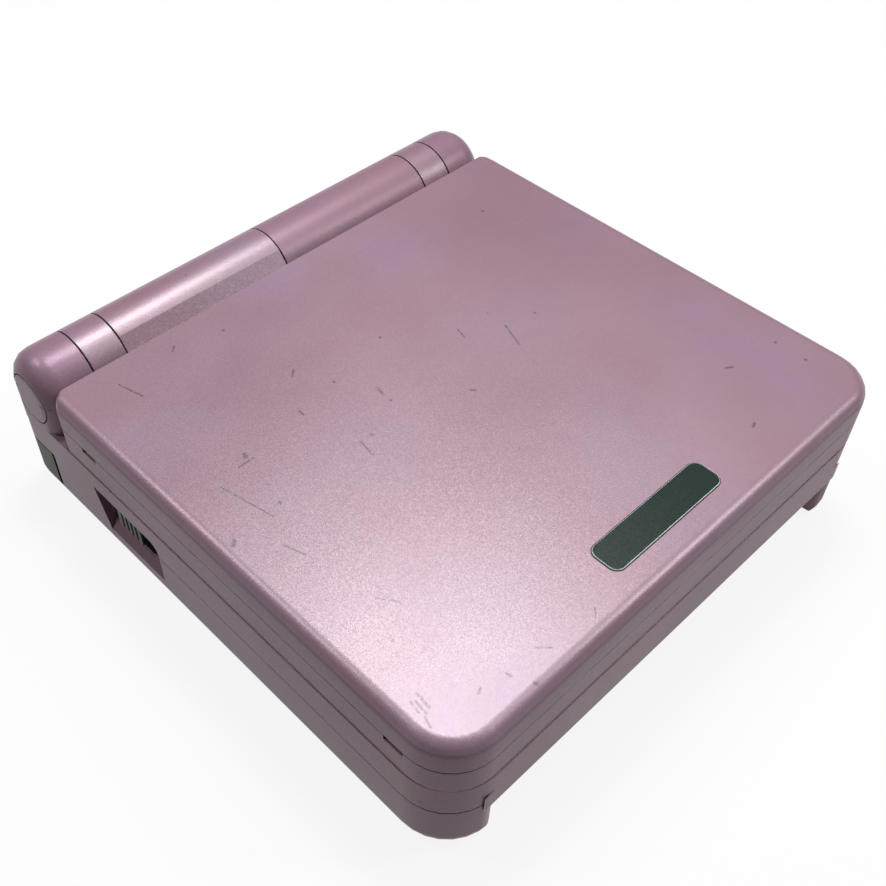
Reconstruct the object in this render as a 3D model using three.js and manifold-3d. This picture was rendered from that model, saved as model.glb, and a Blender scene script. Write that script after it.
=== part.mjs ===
// Folding handheld game console, closed. Millimetres, +Z up, hinge along +X at the back (+Y).
// The origin is the middle of the underside.
import * as THREE from 'three';
import { mergeVertices } from 'three/addons/utils/BufferGeometryUtils.js';
import Module from 'manifold-3d';

const wasm = await Module();
wasm.setup();

// Overall sizes
const caseWidth = 82;
const caseDepth = 84.6;
const caseHeight = 24.3;
const frontCornerRadius = 7.3;
const backCornerRadius = 3.4;

// Clearances and cuts
const seamGap = 0.2;
const lidGap = 0.15;
const seatGap = 0.1;
const runningGap = 0.3;
const cutOverrun = 2;

// Heights of the closed case's layers
const shellSeamHeight = 8.6;
const deckHeight = 13.8;
const lidSeamHeight = 18.1;
const lidTopHeight = 22.8;

// Hinge
const barrelRadius = 5.7;
const barrelBore = 2.8;
const barrelEndFillet = 3.2;
const housingWidth = 7.5;
const collarLength = 5.35;
const collarGap = 0.25;
const midSeamX = -0.2;
const endPlugRadius = 3.6;
const endPlugDepth = 1.6;
const endPlugDrop = 0.6;
const endPlugGap = 0.22;
const cartridgeInner = 20;
const facetUpperAngle = THREE.MathUtils.degToRad(125.3);
const facetLowerAngle = THREE.MathUtils.degToRad(155);
const facetCutHeight = 0.7;

// Base shells
const baseWall = 1.5;
const baseFloor = 1.3;
const bottomFillet = 2.5;
const deckEdge = 0.1;
const deckThickness = 1.3;
const rearRidgeThickness = 1.2;
const rearRidgeRise = 1.3;
const troughWall = 1.2;
const slotRoofThickness = 0.9;

// Card slot at the front of the underside
const cardWidth = 57.4;
const slotClearance = 0.5;
const slotWall = 1.2;
const slotDepth = 37.8;
const scoopDepth = 11;
const mouthWidth = 62.8;
const mouthDepth = 4.5;
const footRounding = 4.2;
const footUndersideRounding = 4.6;
const lipBottom = 7.1;
const footBlock = 4;
const connectorDepth = 3.4;
const connectorGroove = 1.6;
const connectorGrooveHeight = 2.2;

// Battery bay
const batteryWidth = 39;
const batteryLength = 26;
const batteryThickness = 5.2;
const batteryRadius = 1.5;
const bayClearance = 0.5;
const bayWall = 1;
const bayCentreY = 13.4;
const coverMargin = 3;
const coverThickness = 1.2;
const coverRadius = 3;
const coverTabWidth = 6;
const coverTabReach = 1.6;
const coverTabThickness = 0.9;
const coverScrewInset = 2.1;

// Screws and bosses
const screwShaftRadius = 0.8;
const screwHeadRadius = 1.7;
const screwHeadThickness = 0.9;
const screwHeadSink = 0.6;
const screwSlotWidth = 0.5;
const screwSlotDepth = 0.35;
const screwGrip = 3.6;
const headChamferShare = 0.8;
const headRimShare = 0.35;
const bossRadius = 2.8;
const bossInset = 6.4;
const bossRearInset = 15.3;
const bossRearSideInset = 7.7;

// Main board and the parts on it
const boardHeight = 9;
const boardThickness = 1;
const boardMargin = 4.3;
const boardBackMargin = 11;
const boardRadius = 3;
const chipWidth = 13;
const chipLength = 11;
const chipRise = 1.2;
const speakerRadius = 9;
const speakerHeight = 2.2;
const speakerRim = 1.4;
const speakerRimHeight = 0.7;
const speakerDomeShare = 0.33;
const grilleSlots = 6;
const grillePitch = 2.4;
const grilleSlotWidth = 1.1;
const grilleSlotLength = 11;
const membraneThickness = 0.35;
const membraneMargin = 1.4;
const membraneRadius = 2;

// Deck controls
const buttonRise = 1.3;
const buttonFlange = 0.8;
const buttonFlangeRim = 0.8;
const buttonCrown = 0.45;
const buttonClearance = 0.25;
const crownEdgeShare = 0.33;
const actionRadius = 4.4;
const menuRadius = 2.5;
const lightRadius = 2.9;
const lightRise = 0.1;
const padReach = 9.1;
const padArm = 6.1;
const padClearance = 0.4;
const padFlangeRim = 0.75;
const padFlangeGap = 0.8;
const padFlangeThickness = 0.48;
const padDish = 0.5;
const padDishRadius = 1.7;
const padWellRadius = 12.2;
const padWellDepth = 0.35;
const pivotRadius = 1.2;
const pivotWaistShare = 0.8;

// Sliders in the side walls
const recessInset = 18.3;
const recessLength = 14.3;
const recessTop = 10.8;
const recessBottom = 3.8;
const recessFloorTop = 5.2;
const recessSink = 1.1;
const recessRounding = 2;
const recessBacking = 1.3;
const recessRakeShare = 0.3;
const flankBottom = 1.9;
const flankThickness = 1.5;
const sliderBottom = 6.8;
const sliderTop = 9.9;
const sliderLength = 5.2;
const sliderFlangeLength = 8.4;
const sliderFlangeRise = 1.2;
const sliderFlangeThickness = 0.9;
const sliderProud = 0.75;
const sliderFlangeDrop = 2.2;
const sliderTravel = 2.6;
const sliderRibs = 4;
const ribDepth = 0.25;
const ribWidth = 0.45;

// Status lights beside the power switch
const statusRadius = 0.85;
const statusLength = 3.4;
const statusHeight = 11.4;
const statusPitch = 2.7;
const statusGap = 2.4;

// Ports in the back wall
const linkWidth = 12.6;
const linkHeight = 4.2;
const linkDepth = 7;
const linkBottom = 2.7;
const linkWallThickness = 0.5;
const linkTongueThickness = 1;
const linkTongueInset = 2.4;
const chargeWidth = 6.2;
const chargeHeight = 3.2;
const chargeX = 14.5;

// Shoulder buttons at the back corners
const shoulderWidth = 13;
const shoulderLength = 7.2;
const shoulderPinSideInset = 10.8;
const shoulderPinInset = 4.1;
const shoulderBottom = 1.9;
const shoulderWall = 1.7;
const shoulderSwing = 0.7;
const shoulderPinRadius = 0.8;
const shoulderLug = 1.7;

// Lid shells
const lidInset = 0.1;
const lidFrontCorner = 6.7;
const lidBackCorner = 2.3;
const lidFillet = 1.9;
const lidBackFilletShare = 0.2;
const lidWall = 1.3;
const lidTopThickness = 1.2;
const lidRim = 2.2;
const lidRecess = 1.9;
const innerPlate = 1.5;
const latchLength = 3;
const latchHeight = 0.7;
const latchDepth = 0.8;
const latchBackInset = 7.9;
const latchFrontInset = 8.5;

// Screen stack
const windowWidth = 62;
const windowLength = 42;
const lensMargin = 4.5;
const lensThickness = 0.8;
const lensRadius = 2.5;
const guideMargin = 2;
const guideThickness = 0.5;
const panelThickness = 1.3;
const panelMargin = 3;

// Pads over the lid's screws
const padScrewSideInset = 4.8;
const padScrewEndInset = 4.1;
const rubberRadius = 1.8;
const rubberThickness = 0.6;
const rubberProud = 0.15;
const lidScrewHeadRadius = 1.5;
const lidScrewLength = 3.2;

// Nameplate on the lid
const plateWidth = 20.3;
const plateLength = 4.5;
const plateRadius = 1.3;
const plateThickness = 0.5;
const plateProud = 0.15;
const plateEdge = 0.15;
const plateInset = 6.6;

// Places across the case and along it, as shares of its width and its depth
const placeShares = {
  actionA: [0.3732, 0.1253],
  actionB: [0.2439, 0.0544],
  menu: [0.0854, -0.2541],
  light: [0, 0.266],
  pad: [-0.3171, 0.0946],
  speaker: [0, 0.0355],
  chip: [-0.2439, -0.2364],
  screen: [0, -0.0414],
  middleBoss: [0, -0.0827],
};

// Facet counts
const cornerSteps = 7;
const filletSteps = 4;
const barrelSides = 44;
const roundSides = 28;
const screwSides = 14;

// Places worked out from the sizes
const halfWidth = caseWidth / 2;
const halfDepth = caseDepth / 2;
const placeOf = (name) => [caseWidth * placeShares[name][0], caseDepth * placeShares[name][1]];
const actionA = placeOf('actionA');
const actionB = placeOf('actionB');
const [menuX, menuY] = placeOf('menu');
const lightY = placeOf('light')[1];
const [padX, padY] = placeOf('pad');
const [speakerX, speakerY] = placeOf('speaker');
const [chipX, chipY] = placeOf('chip');
const screenY = placeOf('screen')[1];
const housingInner = halfWidth - housingWidth;
const collarInner = housingInner - collarLength;
const recessBack = halfDepth - recessInset;
const recessFront = recessBack - recessLength;
const statusFirstY = recessBack + statusGap;
const shoulderInner = halfWidth - shoulderWidth;
const shoulderFront = halfDepth - shoulderLength;
const shoulderPinX = halfWidth - shoulderPinSideInset;
const shoulderPinY = halfDepth - shoulderPinInset;
const axisY = halfDepth - barrelRadius;
const axisZ = caseHeight - barrelRadius;
const lowerTop = shellSeamHeight - seamGap / 2;
const upperBottom = shellSeamHeight + seamGap / 2;
const lidBottom = deckHeight + lidGap;
const innerTop = lidSeamHeight - seamGap / 2;
const outerBottom = lidSeamHeight + seamGap / 2;
const lidBack = axisY - barrelRadius - runningGap;
const lidHalfWidth = halfWidth - lidInset;
const lidFront = -halfDepth + lidInset;
const latchBackY = lidBack - latchBackInset;
const latchFrontY = lidFront + latchFrontInset;
const plateY = lidFront + plateInset;
const bossX = halfWidth - bossInset;
const bossFrontY = -halfDepth + bossInset;
const bossMiddleY = placeOf('middleBoss')[1];
const bossBackX = halfWidth - bossRearSideInset;
const bossBackY = halfDepth - bossRearInset;
const padScrewX = halfWidth - padScrewSideInset;
const padScrewFrontY = lidFront + padScrewEndInset;
const padScrewBackY = lidBack - padScrewEndInset;
const deckUnderside = deckHeight - deckThickness;
const boardTop = boardHeight + boardThickness;
const slotHalfWidth = cardWidth / 2 + slotClearance;
const slotBack = -halfDepth + slotDepth;
const slotRoof = lowerTop - slotRoofThickness;
const shoulderTop = lowerTop;
const membraneTop = boardTop + seatGap + membraneThickness;
const innerFace = lidBottom + lidRecess;
const plateTop = innerFace + innerPlate;
const bossPlaces = [
  [-bossX, bossFrontY],
  [bossX, bossFrontY],
  [-bossX, bossMiddleY],
  [bossX, bossMiddleY],
  [-bossBackX, bossBackY],
  [bossBackX, bossBackY],
];
const lidScrewPlaces = [
  [-padScrewX, padScrewFrontY],
  [padScrewX, padScrewFrontY],
  [-padScrewX, padScrewBackY],
  [padScrewX, padScrewBackY],
];

// Finishes
const finish = (color, roughness, metalness) =>
  new THREE.MeshStandardMaterial({ color, roughness, metalness });
const pearlPaint = finish(0xc9a3b4, 0.35, 0.3);
const darkPlate = finish(0x1f3a2c, 0.5, 0.1);
const smokedPlastic = finish(0x5d6656, 0.3, 0);
const greyPlastic = finish(0xa9a7aa, 0.45, 0);
const blackPlastic = finish(0x1b1b1e, 0.5, 0);
const greySilicone = finish(0x77787c, 0.8, 0);
const screwSteel = finish(0x8a8a8c, 0.35, 1);
const boardGreen = finish(0x1f5a3a, 0.6, 0);
const glassClear = finish(0x22262b, 0.1, 0);
const panelGlass = finish(0x5b625c, 0.2, 0.1);
const batteryWrap = finish(0x3a3d42, 0.5, 0);
const lightPipe = finish(0xd8e0d8, 0.2, 0);

// A closed geometry as a solid that can be joined and cut.
function solid(geometry) {
  const bare = geometry.index ? geometry.toNonIndexed() : geometry;
  bare.deleteAttribute('normal');
  bare.deleteAttribute('uv');
  const merged = mergeVertices(bare);
  const mesh = new wasm.Mesh({
    numProp: 3,
    vertProperties: merged.attributes.position.array,
    triVerts: new Uint32Array(merged.index.array),
  });
  return new wasm.Manifold(mesh);
}

// A solid as a flat-shaded geometry.
function geometryOf(body) {
  const mesh = body.getMesh();
  const indexed = new THREE.BufferGeometry();
  indexed.setAttribute('position', new THREE.BufferAttribute(mesh.vertProperties, 3));
  indexed.setIndex(new THREE.BufferAttribute(mesh.triVerts, 1));
  const flat = indexed.toNonIndexed();
  flat.computeVertexNormals();
  return flat;
}

const joined = (...bodies) => bodies.reduce((sum, body) => sum.add(body));
const cut = (body, ...tools) => tools.reduce((rest, tool) => rest.subtract(tool), body);

// A box between two corners.
function block(x0, x1, y0, y1, z0, z1) {
  const box = new THREE.BoxGeometry(x1 - x0, y1 - y0, z1 - z0);
  box.translate((x0 + x1) / 2, (y0 + y1) / 2, (z0 + z1) / 2);
  return solid(box);
}

// A round post along Z.
function post(radius, x, y, z0, z1, sides = roundSides) {
  const rod = new THREE.CylinderGeometry(radius, radius, z1 - z0, sides);
  rod.rotateX(Math.PI / 2);
  rod.translate(x, y, (z0 + z1) / 2);
  return solid(rod);
}

// A round rod along X.
function rodX(radius, x0, x1, y, z, sides = barrelSides) {
  const rod = new THREE.CylinderGeometry(radius, radius, x1 - x0, sides);
  rod.rotateZ(Math.PI / 2);
  rod.translate((x0 + x1) / 2, y, z);
  return solid(rod);
}

// A body turned about the X axis at (y, z) from [distance along X, radius] points.
function turnedX(points, y, z, sides = barrelSides) {
  const profile = points.map(([x, radius]) => new THREE.Vector2(radius, x));
  const lathe = new THREE.LatheGeometry(profile, sides);
  lathe.applyMatrix4(
    new THREE.Matrix4().makeBasis(
      new THREE.Vector3(0, 0, 1),
      new THREE.Vector3(1, 0, 0),
      new THREE.Vector3(0, 1, 0),
    ),
  );
  lathe.translate(0, y, z);
  return solid(lathe);
}

// A body turned about the Z axis at (x, y) from [radius, height] points.
function turnedZ(points, x, y, sides = roundSides) {
  const profile = points.map(([radius, height]) => new THREE.Vector2(radius, height));
  const lathe = new THREE.LatheGeometry(profile, sides);
  lathe.rotateX(Math.PI / 2);
  lathe.translate(x, y, 0);
  return solid(lathe);
}

// An outline in XY carried from z0 to z1.
function slab(points, z0, z1) {
  const shape = new THREE.Shape(points);
  const slabGeometry = new THREE.ExtrudeGeometry(shape, { depth: z1 - z0, bevelEnabled: false });
  slabGeometry.translate(0, 0, z0);
  return solid(slabGeometry);
}

// An outline of [y, z] points carried along X from x0 to x1.
function barX(points, x0, x1) {
  const shape = new THREE.Shape(points.map(([y, z]) => new THREE.Vector2(y, z)));
  const bar = new THREE.ExtrudeGeometry(shape, { depth: x1 - x0, bevelEnabled: false });
  bar.applyMatrix4(
    new THREE.Matrix4().makeBasis(
      new THREE.Vector3(0, 1, 0),
      new THREE.Vector3(0, 0, 1),
      new THREE.Vector3(1, 0, 0),
    ),
  );
  bar.translate(x0, 0, 0);
  return solid(bar);
}

// An outline of [x, z] points carried along Y from y0 to y1.
function barY(points, y0, y1) {
  const shape = new THREE.Shape(points.map(([x, z]) => new THREE.Vector2(x, z)));
  const bar = new THREE.ExtrudeGeometry(shape, { depth: y1 - y0, bevelEnabled: false });
  bar.rotateX(Math.PI / 2);
  bar.translate(0, y1, 0);
  return solid(bar);
}

// The corner points of a rounded rectangle, anticlockwise from the front left.
function roundedOutline(left, right, front, back, frontRadius, backRadius = frontRadius) {
  const corners = [
    [left + frontRadius, front + frontRadius, frontRadius, Math.PI],
    [right - frontRadius, front + frontRadius, frontRadius, Math.PI * 1.5],
    [right - backRadius, back - backRadius, backRadius, 0],
    [left + backRadius, back - backRadius, backRadius, Math.PI / 2],
  ];
  const points = [];
  for (const [x, y, radius, start] of corners) {
    for (let step = 0; step <= cornerSteps; step += 1) {
      const angle = start + (step / cornerSteps) * (Math.PI / 2);
      const across = x + radius * Math.cos(angle);
      points.push(new THREE.Vector2(across, y + radius * Math.sin(angle)));
    }
  }
  return points;
}

// The outline of a box of four sides, drawn in by an inset, of which the back takes a share.
function insetOutline(box, inset, backShare = 1) {
  const frontRadius = Math.max(box.frontRadius - inset, box.frontRadius / cornerSteps);
  const backRadius = Math.max(box.backRadius - inset, box.backRadius / cornerSteps);
  return roundedOutline(
    box.left + inset,
    box.right - inset,
    box.front + inset,
    box.back - inset * backShare,
    frontRadius,
    backRadius,
  );
}

// Levels of [outline, height] joined into one closed body.
function loft(levels) {
  const count = levels[0][0].length;
  const positions = [];
  for (const [outline, height] of levels) {
    for (const point of outline) positions.push(point.x, point.y, height);
  }
  const index = [];
  for (let level = 0; level < levels.length - 1; level += 1) {
    for (let i = 0; i < count; i += 1) {
      const a = level * count + i;
      const b = level * count + ((i + 1) % count);
      index.push(a, b, b + count, a, b + count, a + count);
    }
  }
  const last = (levels.length - 1) * count;
  for (let i = 1; i < count - 1; i += 1) {
    index.push(0, i + 1, i);
    index.push(last, last + i, last + i + 1);
  }
  const geometry = new THREE.BufferGeometry();
  geometry.setAttribute('position', new THREE.Float32BufferAttribute(positions, 3));
  geometry.setIndex(index);
  return solid(geometry);
}

// A rounded box whose bottom and top edges have their own fillets.
function filletedBox(box, z0, z1, bottomRound, topRound, backShare = 1) {
  const levels = [];
  for (let step = 0; bottomRound > 0 && step < filletSteps; step += 1) {
    const angle = (step / filletSteps) * (Math.PI / 2);
    const inset = bottomRound * (1 - Math.sin(angle));
    levels.push([insetOutline(box, inset), z0 + bottomRound * (1 - Math.cos(angle))]);
  }
  levels.push([insetOutline(box, 0), z0 + bottomRound]);
  levels.push([insetOutline(box, 0), z1 - topRound]);
  for (let step = 1; topRound > 0 && step <= filletSteps; step += 1) {
    const angle = (step / filletSteps) * (Math.PI / 2);
    const inset = topRound * (1 - Math.cos(angle));
    levels.push([insetOutline(box, inset, backShare), z1 - topRound * (1 - Math.sin(angle))]);
  }
  return loft(levels);
}

const baseBox = {
  left: -halfWidth,
  right: halfWidth,
  front: -halfDepth,
  back: halfDepth,
  frontRadius: frontCornerRadius,
  backRadius: backCornerRadius,
};
const lidBox = {
  left: -lidHalfWidth,
  right: lidHalfWidth,
  front: lidFront,
  back: lidBack,
  frontRadius: lidFrontCorner,
  backRadius: lidBackCorner,
};

// The scooped recess for a slider in the side wall on one side, -1 left or 1 right.
function sliderRecess(side) {
  const face = side * halfWidth;
  const outside = side * (halfWidth + cutOverrun);
  const inside = side * (halfWidth - recessSink);
  const profile = [
    [outside, recessBottom],
    [face, recessBottom],
    [inside, recessFloorTop],
    [inside, recessTop],
    [outside, recessTop],
  ];
  if (side > 0) profile.reverse();
  const trough = barY(profile, recessFront, recessBack);
  const rounding = slabRoundedX(face, side);
  return trough.intersect(rounding);
}

// The recess's outline seen from the side, with round corners at its front end.
function slabRoundedX(face, side) {
  const x0 = face - side * (recessSink + cutOverrun);
  const x1 = face + side * cutOverrun * 2;
  const points = [];
  for (let step = 0; step <= cornerSteps; step += 1) {
    const angle = Math.PI / 2 + (step / cornerSteps) * (Math.PI / 2);
    points.push([
      recessFront + recessRounding * (1 + Math.cos(angle)),
      recessTop - recessRounding * (1 - Math.sin(angle)),
    ]);
  }
  points.push([recessFront, recessBottom - cutOverrun]);
  points.push([rakedBack(recessBottom - cutOverrun), recessBottom - cutOverrun]);
  points.push([rakedBack(recessTop), recessTop]);
  return barX(points, Math.min(x0, x1), Math.max(x0, x1));
}

// The recess's rear end at a height: it leans forward towards the bottom.
function rakedBack(height) {
  return recessBack - (recessTop - height) * recessRakeShare;
}

// The side of the case between a recess and the shoulder button, grown by a gap.
function flankSpace(side, gap) {
  const outer = side * (halfWidth + cutOverrun);
  const inner = side * (halfWidth - flankThickness - gap);
  const back = shoulderFront - shoulderSwing;
  const low = flankBottom - gap;
  const high = upperBottom + deckThickness;
  const outline = [
    [rakedBack(low) - gap, low],
    [back + gap * 2, low],
    [back + gap * 2, high],
    [rakedBack(high) - gap, high],
  ];
  return barX(outline, Math.min(outer, inner), Math.max(outer, inner));
}

// The wall that stands behind a slider's recess between two heights.
function recessWall(side, z0, z1) {
  const outer = side * (halfWidth - baseWall / 2);
  const inner = side * (halfWidth - recessSink - recessBacking);
  const front = recessFront - recessBacking;
  const back = recessBack + recessBacking;
  return block(Math.min(outer, inner), Math.max(outer, inner), front, back, z0, z1);
}

// The window through which a slider's knob reaches.
function sliderWindow(side) {
  const middle = (recessFront + recessBack) / 2;
  const half = sliderLength / 2 + sliderTravel + runningGap;
  const outer = side * (halfWidth + cutOverrun);
  const inner = side * (halfWidth - recessSink - recessBacking - cutOverrun);
  const x0 = Math.min(outer, inner);
  const x1 = Math.max(outer, inner);
  const top = sliderTop + runningGap;
  return block(x0, x1, middle - half, middle + half, recessFloorTop + seatGap, top);
}

// The shoulder button's outer corner between two heights, drawn in by a gap.
function shoulderCorner(side, gap, front, z0, z1) {
  const inner = side * (shoulderInner - gap);
  const outer = side * (halfWidth + cutOverrun);
  const back = halfDepth + cutOverrun;
  return block(Math.min(inner, outer), Math.max(inner, outer), front, back, z0, z1);
}

// The two corner blocks beside the card slot's mouth.
function footBlocks() {
  return [-1, 1].map((side) => {
    const inner = side * slotHalfWidth;
    const outer = side * (mouthWidth / 2 + footBlock);
    const back = -halfDepth + mouthDepth + footBlock;
    const x0 = Math.min(inner, outer);
    const x1 = Math.max(inner, outer);
    return block(x0, x1, -halfDepth + footRounding / 2, back, baseFloor / 2, lowerTop);
  });
}

// The outline between the feet, drawn in by a gap, with the feet's inner corners left round.
function mouthOutline(gap) {
  const half = mouthWidth / 2 - gap;
  const flare = half + footRounding;
  const points = [new THREE.Vector2(flare, -halfDepth - cutOverrun)];
  for (let step = 0; step <= cornerSteps; step += 1) {
    const angle = Math.PI * 1.5 - (step / cornerSteps) * (Math.PI / 2);
    const x = half + footRounding * (1 + Math.cos(angle));
    points.push(new THREE.Vector2(x, -halfDepth + footRounding * (1 + Math.sin(angle))));
  }
  points.push(new THREE.Vector2(half, -halfDepth + mouthDepth));
  const mirrored = points.map((point) => new THREE.Vector2(-point.x, point.y)).reverse();
  return [...points, ...mirrored];
}

// The space cut away between the feet.
function mouthCut() {
  const opening = slab(mouthOutline(0), -cutOverrun, shellSeamHeight + cutOverrun);
  return joined(opening, underfootCut(mouthWidth / 2, -halfDepth + mouthDepth));
}

// The rounding of the feet's inner ends as seen from the front.
function underfootCut(half, back) {
  const radius = footUndersideRounding;
  const points = [[half + radius, -cutOverrun]];
  for (let step = 0; step <= cornerSteps; step += 1) {
    const angle = Math.PI * 1.5 - (step / cornerSteps) * (Math.PI / 2);
    points.push([half + radius * (1 + Math.cos(angle)), radius * (1 + Math.sin(angle))]);
  }
  const mirrored = points.map(([x, z]) => [-x, z]).reverse();
  return barY([...points, ...mirrored], -halfDepth - cutOverrun, back);
}

function baseLowerShell() {
  const outer = filletedBox(baseBox, 0, lowerTop, bottomFillet, 0);
  const cavity = loft([
    [insetOutline(baseBox, baseWall + bottomFillet / 2), baseFloor],
    [insetOutline(baseBox, baseWall), baseFloor + bottomFillet / 2],
    [insetOutline(baseBox, baseWall), lowerTop + cutOverrun],
  ]);
  const slotOuter = slotHalfWidth + slotWall;
  const slotFront = -halfDepth + mouthDepth;
  const slotEnd = slotBack + slotWall;
  const slotShell = block(-slotOuter, slotOuter, slotFront, slotEnd, baseFloor / 2, lowerTop);
  const slotSpace = block(
    -slotHalfWidth,
    slotHalfWidth,
    -halfDepth - cutOverrun,
    slotBack,
    baseFloor,
    slotRoof,
  );
  const bayHalfWidth = batteryWidth / 2 + bayClearance;
  const bayHalfLength = batteryLength / 2 + bayClearance;
  const bayShell = block(
    -bayHalfWidth - bayWall,
    bayHalfWidth + bayWall,
    bayCentreY - bayHalfLength - bayWall,
    bayCentreY + bayHalfLength + bayWall,
    baseFloor / 2,
    lowerTop,
  );
  const baySpace = block(
    -bayHalfWidth,
    bayHalfWidth,
    bayCentreY - bayHalfLength,
    bayCentreY + bayHalfLength,
    -cutOverrun,
    slotRoof,
  );
  const coverSeat = slab(coverOutline(seamGap), -cutOverrun, coverThickness + seatGap);
  const coverBoss = post(bossRadius, 0, coverScrewY(), baseFloor / 2, lowerTop);
  const coverBore = post(
    screwShaftRadius + runningGap,
    0,
    coverScrewY(),
    -cutOverrun,
    lowerTop - slotRoofThickness,
    screwSides,
  );
  const tabPockets = [-1, 1].map((side) => coverTab(side, runningGap));
  const bosses = bossPlaces.map(([x, y]) => post(bossRadius, x, y, baseFloor / 2, lowerTop));
  const bores = bossPlaces.flatMap(([x, y]) => [
    post(screwShaftRadius + runningGap, x, y, -cutOverrun, lowerTop + cutOverrun, screwSides),
    post(screwHeadRadius + runningGap, x, y, -cutOverrun, screwSeat(), screwSides),
  ]);
  const scoop = block(
    -slotHalfWidth,
    slotHalfWidth,
    -halfDepth - cutOverrun,
    -halfDepth + scoopDepth,
    -cutOverrun,
    slotRoof,
  );
  const backing = [-1, 1].map((side) => recessWall(side, baseFloor, lowerTop));
  const inside = joined(slotShell, bayShell, coverBoss, ...bosses, ...footBlocks(), ...backing);
  const shell = joined(cut(outer, cavity), inside.intersect(outer));
  const shoulderCuts = [-1, 1].map((side) => {
    const front = shoulderFront - shoulderSwing;
    return shoulderCorner(side, seamGap, front, shoulderBottom - seamGap, lowerTop + cutOverrun);
  });
  const opened = cut(
    shell,
    slotSpace,
    scoop,
    baySpace,
    coverSeat,
    coverBore,
    mouthCut(),
    ...tabPockets,
    ...bores,
    ...shoulderCuts,
    sliderRecess(-1),
    sliderRecess(1),
    sliderWindow(-1),
    sliderWindow(1),
    flankSpace(-1, seamGap),
    flankSpace(1, seamGap),
    portOpening(0, linkWidth, linkHeight),
    portOpening(chargeX, chargeWidth, chargeHeight),
  );
  return largest(opened);
}

// The biggest of a body's separate lumps, without the slivers that a cut leaves.
function largest(body) {
  const lumps = body.decompose();
  return lumps.reduce((most, lump) => (lump.volume() > most.volume() ? lump : most));
}

// The face under a screw's head.
function screwSeat() {
  return screwHeadSink + screwHeadThickness;
}

function coverScrewY() {
  return bayCentreY + batteryLength / 2 + bayClearance + bayWall + coverScrewInset;
}

// The battery cover's outline, grown by a gap.
function coverOutline(gap) {
  const half = batteryWidth / 2 + coverMargin + gap;
  const front = bayCentreY - batteryLength / 2 - coverMargin / 2 - gap;
  const back = coverScrewY() + bossRadius + gap;
  return roundedOutline(-half, half, front, back, coverRadius + gap);
}

// A tab at the cover's front edge that reaches behind the floor.
function coverTab(side, gap) {
  const middle = (side * batteryWidth) / 4;
  const half = coverTabWidth / 2 + gap;
  const front = bayCentreY - batteryLength / 2 - coverMargin / 2 - coverTabReach - gap;
  const back = front + coverTabReach + coverMargin + gap;
  const bottom = coverThickness - coverTabThickness - gap;
  const top = coverThickness + seatGap + gap;
  return block(middle - half, middle + half, front, back, gap > 0 ? bottom + gap : bottom, top);
}

function batteryCover() {
  const plate = slab(coverOutline(0), 0, coverThickness);
  const headBore = post(
    screwHeadRadius + runningGap,
    0,
    coverScrewY(),
    -cutOverrun,
    screwHeadThickness + seatGap,
    screwSides,
  );
  const shaftBore = post(
    screwShaftRadius + runningGap,
    0,
    coverScrewY(),
    -cutOverrun,
    coverThickness + cutOverrun,
    screwSides,
  );
  return cut(plate, headBore, shaftBore);
}

// A screw along Z with its slotted head down.
function screw(x, y, headBottom, headRadius, top) {
  const headTop = headBottom + screwHeadThickness;
  const body = turnedZ(
    [
      [0, headBottom],
      [headRadius * headChamferShare, headBottom],
      [headRadius, headBottom + screwHeadThickness * headRimShare],
      [headRadius, headTop],
      [screwShaftRadius, headTop],
      [screwShaftRadius, top - screwShaftRadius],
      [0, top],
    ],
    x,
    y,
    screwSides,
  );
  const half = screwSlotWidth / 2;
  const low = headBottom - screwSlotDepth;
  const high = headBottom + screwSlotDepth;
  const slots = [
    block(x - headRadius, x + headRadius, y - half, y + half, low, high),
    block(x - half, x + half, y - headRadius, y + headRadius, low, high),
  ];
  return cut(body, ...slots);
}

function batteryPack() {
  const half = batteryWidth / 2;
  const bottom = coverThickness + runningGap;
  const box = {
    left: -half,
    right: half,
    front: bayCentreY - batteryLength / 2,
    back: bayCentreY + batteryLength / 2,
    frontRadius: batteryRadius,
    backRadius: batteryRadius,
  };
  return filletedBox(box, bottom, bottom + batteryThickness, seamGap, seamGap);
}

// A port's opening in the back wall.
function portOpening(x, width, height) {
  const half = width / 2 + seamGap;
  return block(
    x - half,
    x + half,
    halfDepth - baseWall * 2,
    halfDepth + cutOverrun,
    linkBottom - seamGap,
    linkBottom + height + seamGap,
  );
}

// A metal port shell, open at the back, with a contact tongue.
function port(x, width, height) {
  const half = width / 2;
  const back = halfDepth - seamGap;
  const front = back - linkDepth;
  const wall = linkWallThickness;
  const outer = block(x - half, x + half, front, back, linkBottom, linkBottom + height);
  const hollow = block(
    x - half + wall,
    x + half - wall,
    front + wall,
    back + cutOverrun,
    linkBottom + wall,
    linkBottom + height - wall,
  );
  const middle = linkBottom + height / 2;
  const tongue = block(
    x - half + linkTongueInset,
    x + half - linkTongueInset,
    front,
    back - linkTongueInset,
    middle - linkTongueThickness / 2,
    middle + linkTongueThickness / 2,
  );
  return joined(cut(outer, hollow), tongue);
}

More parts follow.
